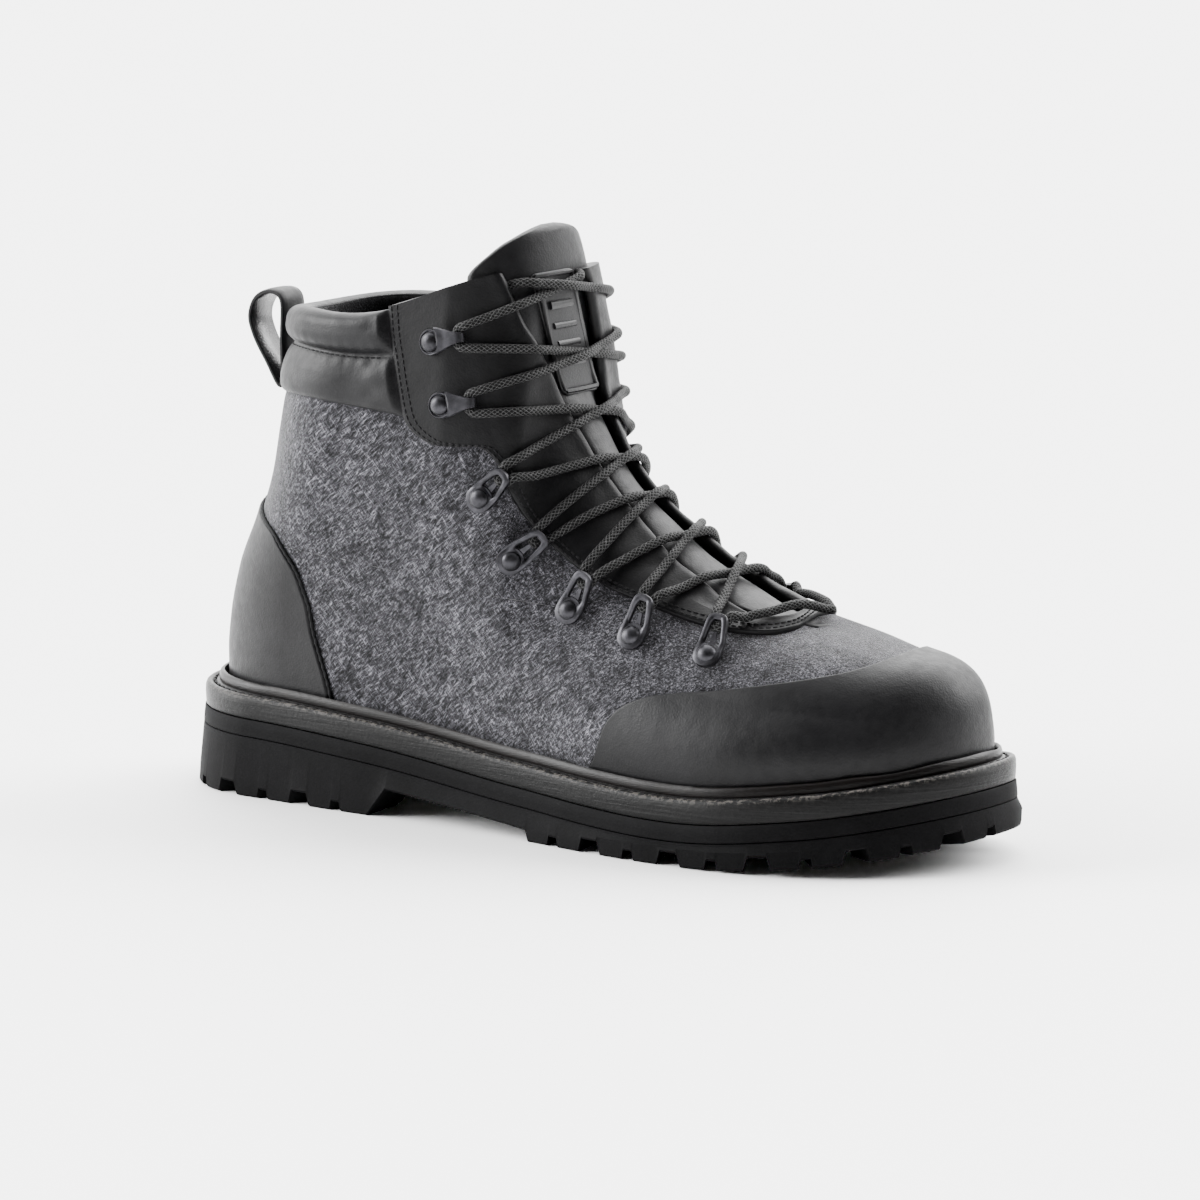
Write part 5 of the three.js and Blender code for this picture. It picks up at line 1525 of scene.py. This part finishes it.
def strand(start, end, over):
    """Points of the lace between two points, pulled taut over the facings and the throat."""
    share = np.linspace(0, 1, STRAND_STEPS + 1)
    a, b = place_of(start), place_of(end)
    level = a[0] + (b[0] - a[0]) * share
    around = a[1] + (b[1] - a[1]) * share
    radius = LACE_DIAMETER / 2

    def lift():
        lying = FOLD_HEIGHT(throat_distance(level, around)) + radius
        held = np.where(share < 0.5, a[2], b[2])
        blend = smooth(np.minimum(share, 1 - share) * STRAND_STEPS / 5)
        return held * (1 - blend) + lying * blend

    for _ in range(STRAND_ROUNDS):
        height = lift()
        here = surface(level, around, height)
        pull = (here[:-2] + here[2:]) / 2 - here[1:-1]
        inner_level, inner_around, inner_height = level[1:-1], around[1:-1], height[1:-1]
        by_level = (surface(inner_level + NUDGE, inner_around, inner_height) - here[1:-1]) / NUDGE
        by_around = (surface(inner_level, inner_around + NUDGE, inner_height) - here[1:-1]) / NUDGE
        aa, bb = np.sum(by_level ** 2, axis=1), np.sum(by_around ** 2, axis=1)
        ab = np.sum(by_level * by_around, axis=1)
        pa, pb = np.sum(by_level * pull, axis=1), np.sum(by_around * pull, axis=1)
        span = aa * bb - ab ** 2
        level[1:-1] += STRAND_PULL * (pa * bb - pb * ab) / span
        around[1:-1] += STRAND_PULL * (pb * aa - pa * ab) / span
    points = surface(level, around, lift())
    normals = normal_at(level, around)
    distance = throat_distance(level, around)
    opened = smooth((1.5 - distance) / 3)[:, None]
    inside = np.where(distance < 0.5)[0]
    if len(inside) > 2:
        i, j = inside[0], inside[-1]
        t = ((np.arange(i, j + 1) - i) / (j - i))[:, None]
        chord = points[i] * (1 - t) + points[j] * t
        points[i:j + 1] += 0.5 * (chord - points[i:j + 1])
        hump = np.zeros((len(points), 1))
        hump[i:j + 1] = np.sin(np.pi * t) ** 2
        points += normals * hump * opened * (OVER_HUMP if over else -UNDER_DIP)
    return points


# Where each end is tucked in, on the outer (-1) and the inner side
TUCK_LEVEL = 0.985
TUCK_PLACES = {-1: -0.165, 1: 0.022}


def lace_half(first_side, over_first):
    """One half of the lace, from the middle of the lowest bar up to the tucked end."""
    rows = [(row, RING_TURN, RING_SEAT) for row in RING_ROWS[::-1]]
    rows += [(row, HOOK_TURN, HOOK_SEAT) for row in HOOK_ROWS[::-1]]
    points = []
    side = first_side
    start = surface(0.4535, 0.0, 1.75 + LACE_DIAMETER / 2)
    over = True
    for row, turn, seat in rows:
        path = placed(np.array(turn), hardware_frame(row, side, seat))
        if place_of(path[0])[0] > place_of(path[-1])[0]:
            path = path[::-1]
        points.append(strand(start, path[0], over)[:-1])
        points.append(path)
        start = path[-1]
        over = side < 0
        side = -side
    place, inward = TUCK_PLACES[side], 0.02 * side
    rim = surface(TUCK_LEVEL - 0.002, place - inward, 3.0)
    points.append(strand(start, rim, over_first))
    points.append(np.array([
        surface(TUCK_LEVEL, place, 1.3), surface(TUCK_LEVEL, place + inward, -1.4),
        surface(TUCK_LEVEL - 0.002, place + 2.6 * inward, -4.0),
    ]))
    return np.concatenate(points)


def open_spline(points, step):
    """A smooth line through the points, sampled about this far apart."""
    points = np.asarray(points, float)
    padded = np.concatenate([2 * points[:1] - points[1:2], points, 2 * points[-1:] - points[-2:-1]])
    result = []
    for i in range(1, len(padded) - 2):
        count = max(1, int(round(np.linalg.norm(padded[i + 1] - padded[i]) / step)))
        result += [spline_point(*padded[i - 1:i + 3], t) for t in np.arange(count) / count]
    return np.array(result + [padded[-2]])


def make_lace():
    lateral, medial = lace_half(-1, False), lace_half(1, True)
    route = np.concatenate([lateral[::-1], medial[1:]])
    keep = [0]
    for i in range(1, len(route)):
        if np.linalg.norm(route[i] - route[keep[-1]]) > 0.9:
            keep.append(i)
    piece = tube("lace_braid", open_spline(route[keep], 0.6), LACE_DIAMETER / 2, 16, depth=0.012,
                 material=LOOKS["lace"], step=0.55, braid=True)
    finish_piece(piece, "lace", "lace_bar", *[f"lace_cross_{i}" for i in range(1, 7)], "lace_top")


# Stitches: small capsules along lines on the upper
def stitch_line(name, path, pitch, length, radius):
    """A row of capsules of this pitch, length and radius along a path."""
    fine, _ = resample(path, pitch)
    parts = []
    for a, b in zip(fine[:-1], fine[1:]):
        parts.append(capsule((a + b) / 2, (b - a) / np.linalg.norm(b - a), length, radius))
    finish_piece(add_mesh(name, *merged(parts), LOOKS["thread"]), "lace")


def capsule(middle, along, length, radius):
    """Points and faces of one stitch, as a six-sided spindle."""
    side = np.cross(along, (0.21, 0.13, 1.0))
    side /= np.linalg.norm(side)
    up = np.cross(along, side)
    rows = []
    for share, width in ((-1, 0.35), (-0.7, 0.9), (0, 1.0), (0.7, 0.9), (1, 0.35)):
        centre = middle + along * share * length / 2
        rows.append([centre + radius * width * (math.cos(a) * side + math.sin(a) * up)
                     for a in np.arange(6) * math.pi / 3])
    faces = [face[::-1] for face in grid_faces(5, 6, 0, True)]
    faces += [tuple(range(6)), tuple(range(24, 30))[::-1]]
    return np.array(rows).reshape(-1, 3), faces


# Rows of stitches: inside the facing's edge in millimetres, and at a rise of the collar's section
FACING_STITCHES = (1.7, 3.9)
COLLAR_STITCHES = 0.553
# Pitch, length and radius of each row's stitches
FACING_THREAD, COLLAR_THREAD, WELT_THREAD = (2.3, 1.7, 0.33), (2.4, 1.7, 0.24), (4.2, 3.5, 0.45)


def make_stitching():
    """Two rows along the facing, one between the collar's rolls, one on the sole's edge."""
    edges = facing_edges()
    width = facing_width(edges)
    for i, inset in enumerate(FACING_STITCHES, 1):
        path = surface(*facing_line(edges, 1 - inset / width), 1.75)
        stitch_line(f"stitch_facing_{i}", path, *FACING_THREAD)
    bottom = table_curve(COLLAR_EDGE, 1)
    turn, padded = collar_places(COLLAR_STITCHES, np.linspace(0.1, 1, 200))
    level = bottom(turn) + (1 - bottom(turn)) * COLLAR_STITCHES
    out = UNPADDED + 0.3 * padded
    path = surface(mirrored(level), np.r_[-turn, turn[-2::-1]], mirrored(out))
    stitch_line("stitch_collar", path, *COLLAR_THREAD)
    line = sole_line(STRIP_MARGIN + 2.7, deck_height, -0.35)
    stitch_line("stitch_welt", np.concatenate([line, line[:1]]), *WELT_THREAD)


# The stage: floor, lights and camera
CAMERA_AZIMUTH = 32.9086
CAMERA_ELEVATION = 9.6878
CAMERA_DISTANCE = 2.0
CAMERA_LENS = 178.99
LOOK_AT = Vector((0.115873, 0.0, 0.073365))


def away_from(azimuth, elevation):
    """A direction from the boot by its compass angle, 0 towards -Y, and its angle above the floor."""
    a, e = math.radians(azimuth), math.radians(elevation)
    return Vector((math.sin(a) * math.cos(e), -math.cos(a) * math.cos(e), math.sin(e)))


def add_aimed(name, data, away):
    """An object of the stage that looks from that direction towards the boot."""
    thing = bpy.data.objects.new(name, data)
    thing.rotation_mode = "QUATERNION"
    thing.rotation_quaternion = (-away).to_track_quat("-Z", "Y")
    bpy.context.scene.collection.objects.link(thing)
    return thing


def make_camera():
    away = away_from(CAMERA_AZIMUTH, CAMERA_ELEVATION)
    data = bpy.data.cameras.new("camera")
    data.lens = CAMERA_LENS
    data.sensor_width = 36.0
    data.clip_start, data.clip_end = 0.05, 60.0
    camera = add_aimed("camera", data, away)
    camera.location = LOOK_AT + away * CAMERA_DISTANCE
    bpy.context.scene.camera = camera


def make_sun(name, azimuth, elevation, strength, angle):
    data = bpy.data.lights.new(name, "SUN")
    data.energy = strength
    data.angle = math.radians(angle)
    add_aimed(name, data, away_from(azimuth, elevation))


# Light from around: direction, where it starts and is full, strength there
WORLD_LIGHT = [
    ((-0.543, 0.84, 0.0), -0.4, 0.7, 0.07, 3.6),
    ((-0.3, 0.5, 0.81), 0.4, 0.95, 0.0, 3.0),
    ((-0.88, -0.42, 0.2), 0.75, 0.95, 0.0, 9.0),
]
# Soft suns: azimuth, elevation, strength, angle
SUNS = {"left": (-60, 27, 5.6, 34), "right": (140, 34, 6.2, 40), "top": (195, 52, 4.0, 50)}
FLOOR_HALF = 30.0


def make_world():
    """A studio that is dark on the camera's side and bright above, behind and at the left."""
    world = bpy.data.worlds.new("studio")
    world.use_nodes = True
    tree = world.node_tree
    background = tree.nodes["Background"]
    coords = tree.nodes.new("ShaderNodeTexCoord")

    def facing(direction, low, high, dark, bright):
        dot = tree.nodes.new("ShaderNodeVectorMath")
        dot.operation = "DOT_PRODUCT"
        tree.links.new(coords.outputs["Generated"], dot.inputs[0])
        dot.inputs[1].default_value = direction
        spread = tree.nodes.new("ShaderNodeMapRange")
        spread.interpolation_type = "SMOOTHSTEP"
        for socket, value in zip(spread.inputs[1:5], (low, high, dark, bright)):
            socket.default_value = value
        tree.links.new(dot.outputs["Value"], spread.inputs[0])
        return spread.outputs[0]

    total = None
    for row in WORLD_LIGHT:
        value = facing(*row)
        if total is None:
            total = value
            continue
        add = tree.nodes.new("ShaderNodeMath")
        tree.links.new(total, add.inputs[0])
        tree.links.new(value, add.inputs[1])
        total = add.outputs[0]
    tree.links.new(total, background.inputs["Strength"])
    background.inputs["Color"].default_value = (1.0, 1.0, 1.0, 1.0)
    bpy.context.scene.world = world


def make_stage():
    make_world()
    shader = Shader("floor", 0.6, 0.1)
    mesh = bpy.data.meshes.new("floor")
    mesh.from_pydata([(x * FLOOR_HALF, y * FLOOR_HALF, 0) for x, y in ((-1, -1), (1, -1), (1, 1), (-1, 1))],
                     [], [(0, 1, 2, 3)])
    mesh.materials.append(shader.finish(shader.ramp(shader.noise(3, 2), [(0.3, 0.895), (0.7, 0.9)])))
    floor = bpy.data.objects.new("floor", mesh)
    bpy.context.scene.collection.objects.link(floor)
    for name, sun in SUNS.items():
        make_sun(name, *sun)


for make in (make_camera, make_stage, make_outsole, make_rubber_midsole, make_leather_midsole, make_bead,
             make_insole, make_felt, make_toe_cap, make_counter, make_facing, make_collar, make_tongue,
             make_patch, make_pull_loop, make_hardware, make_lace, make_stitching):
    make()
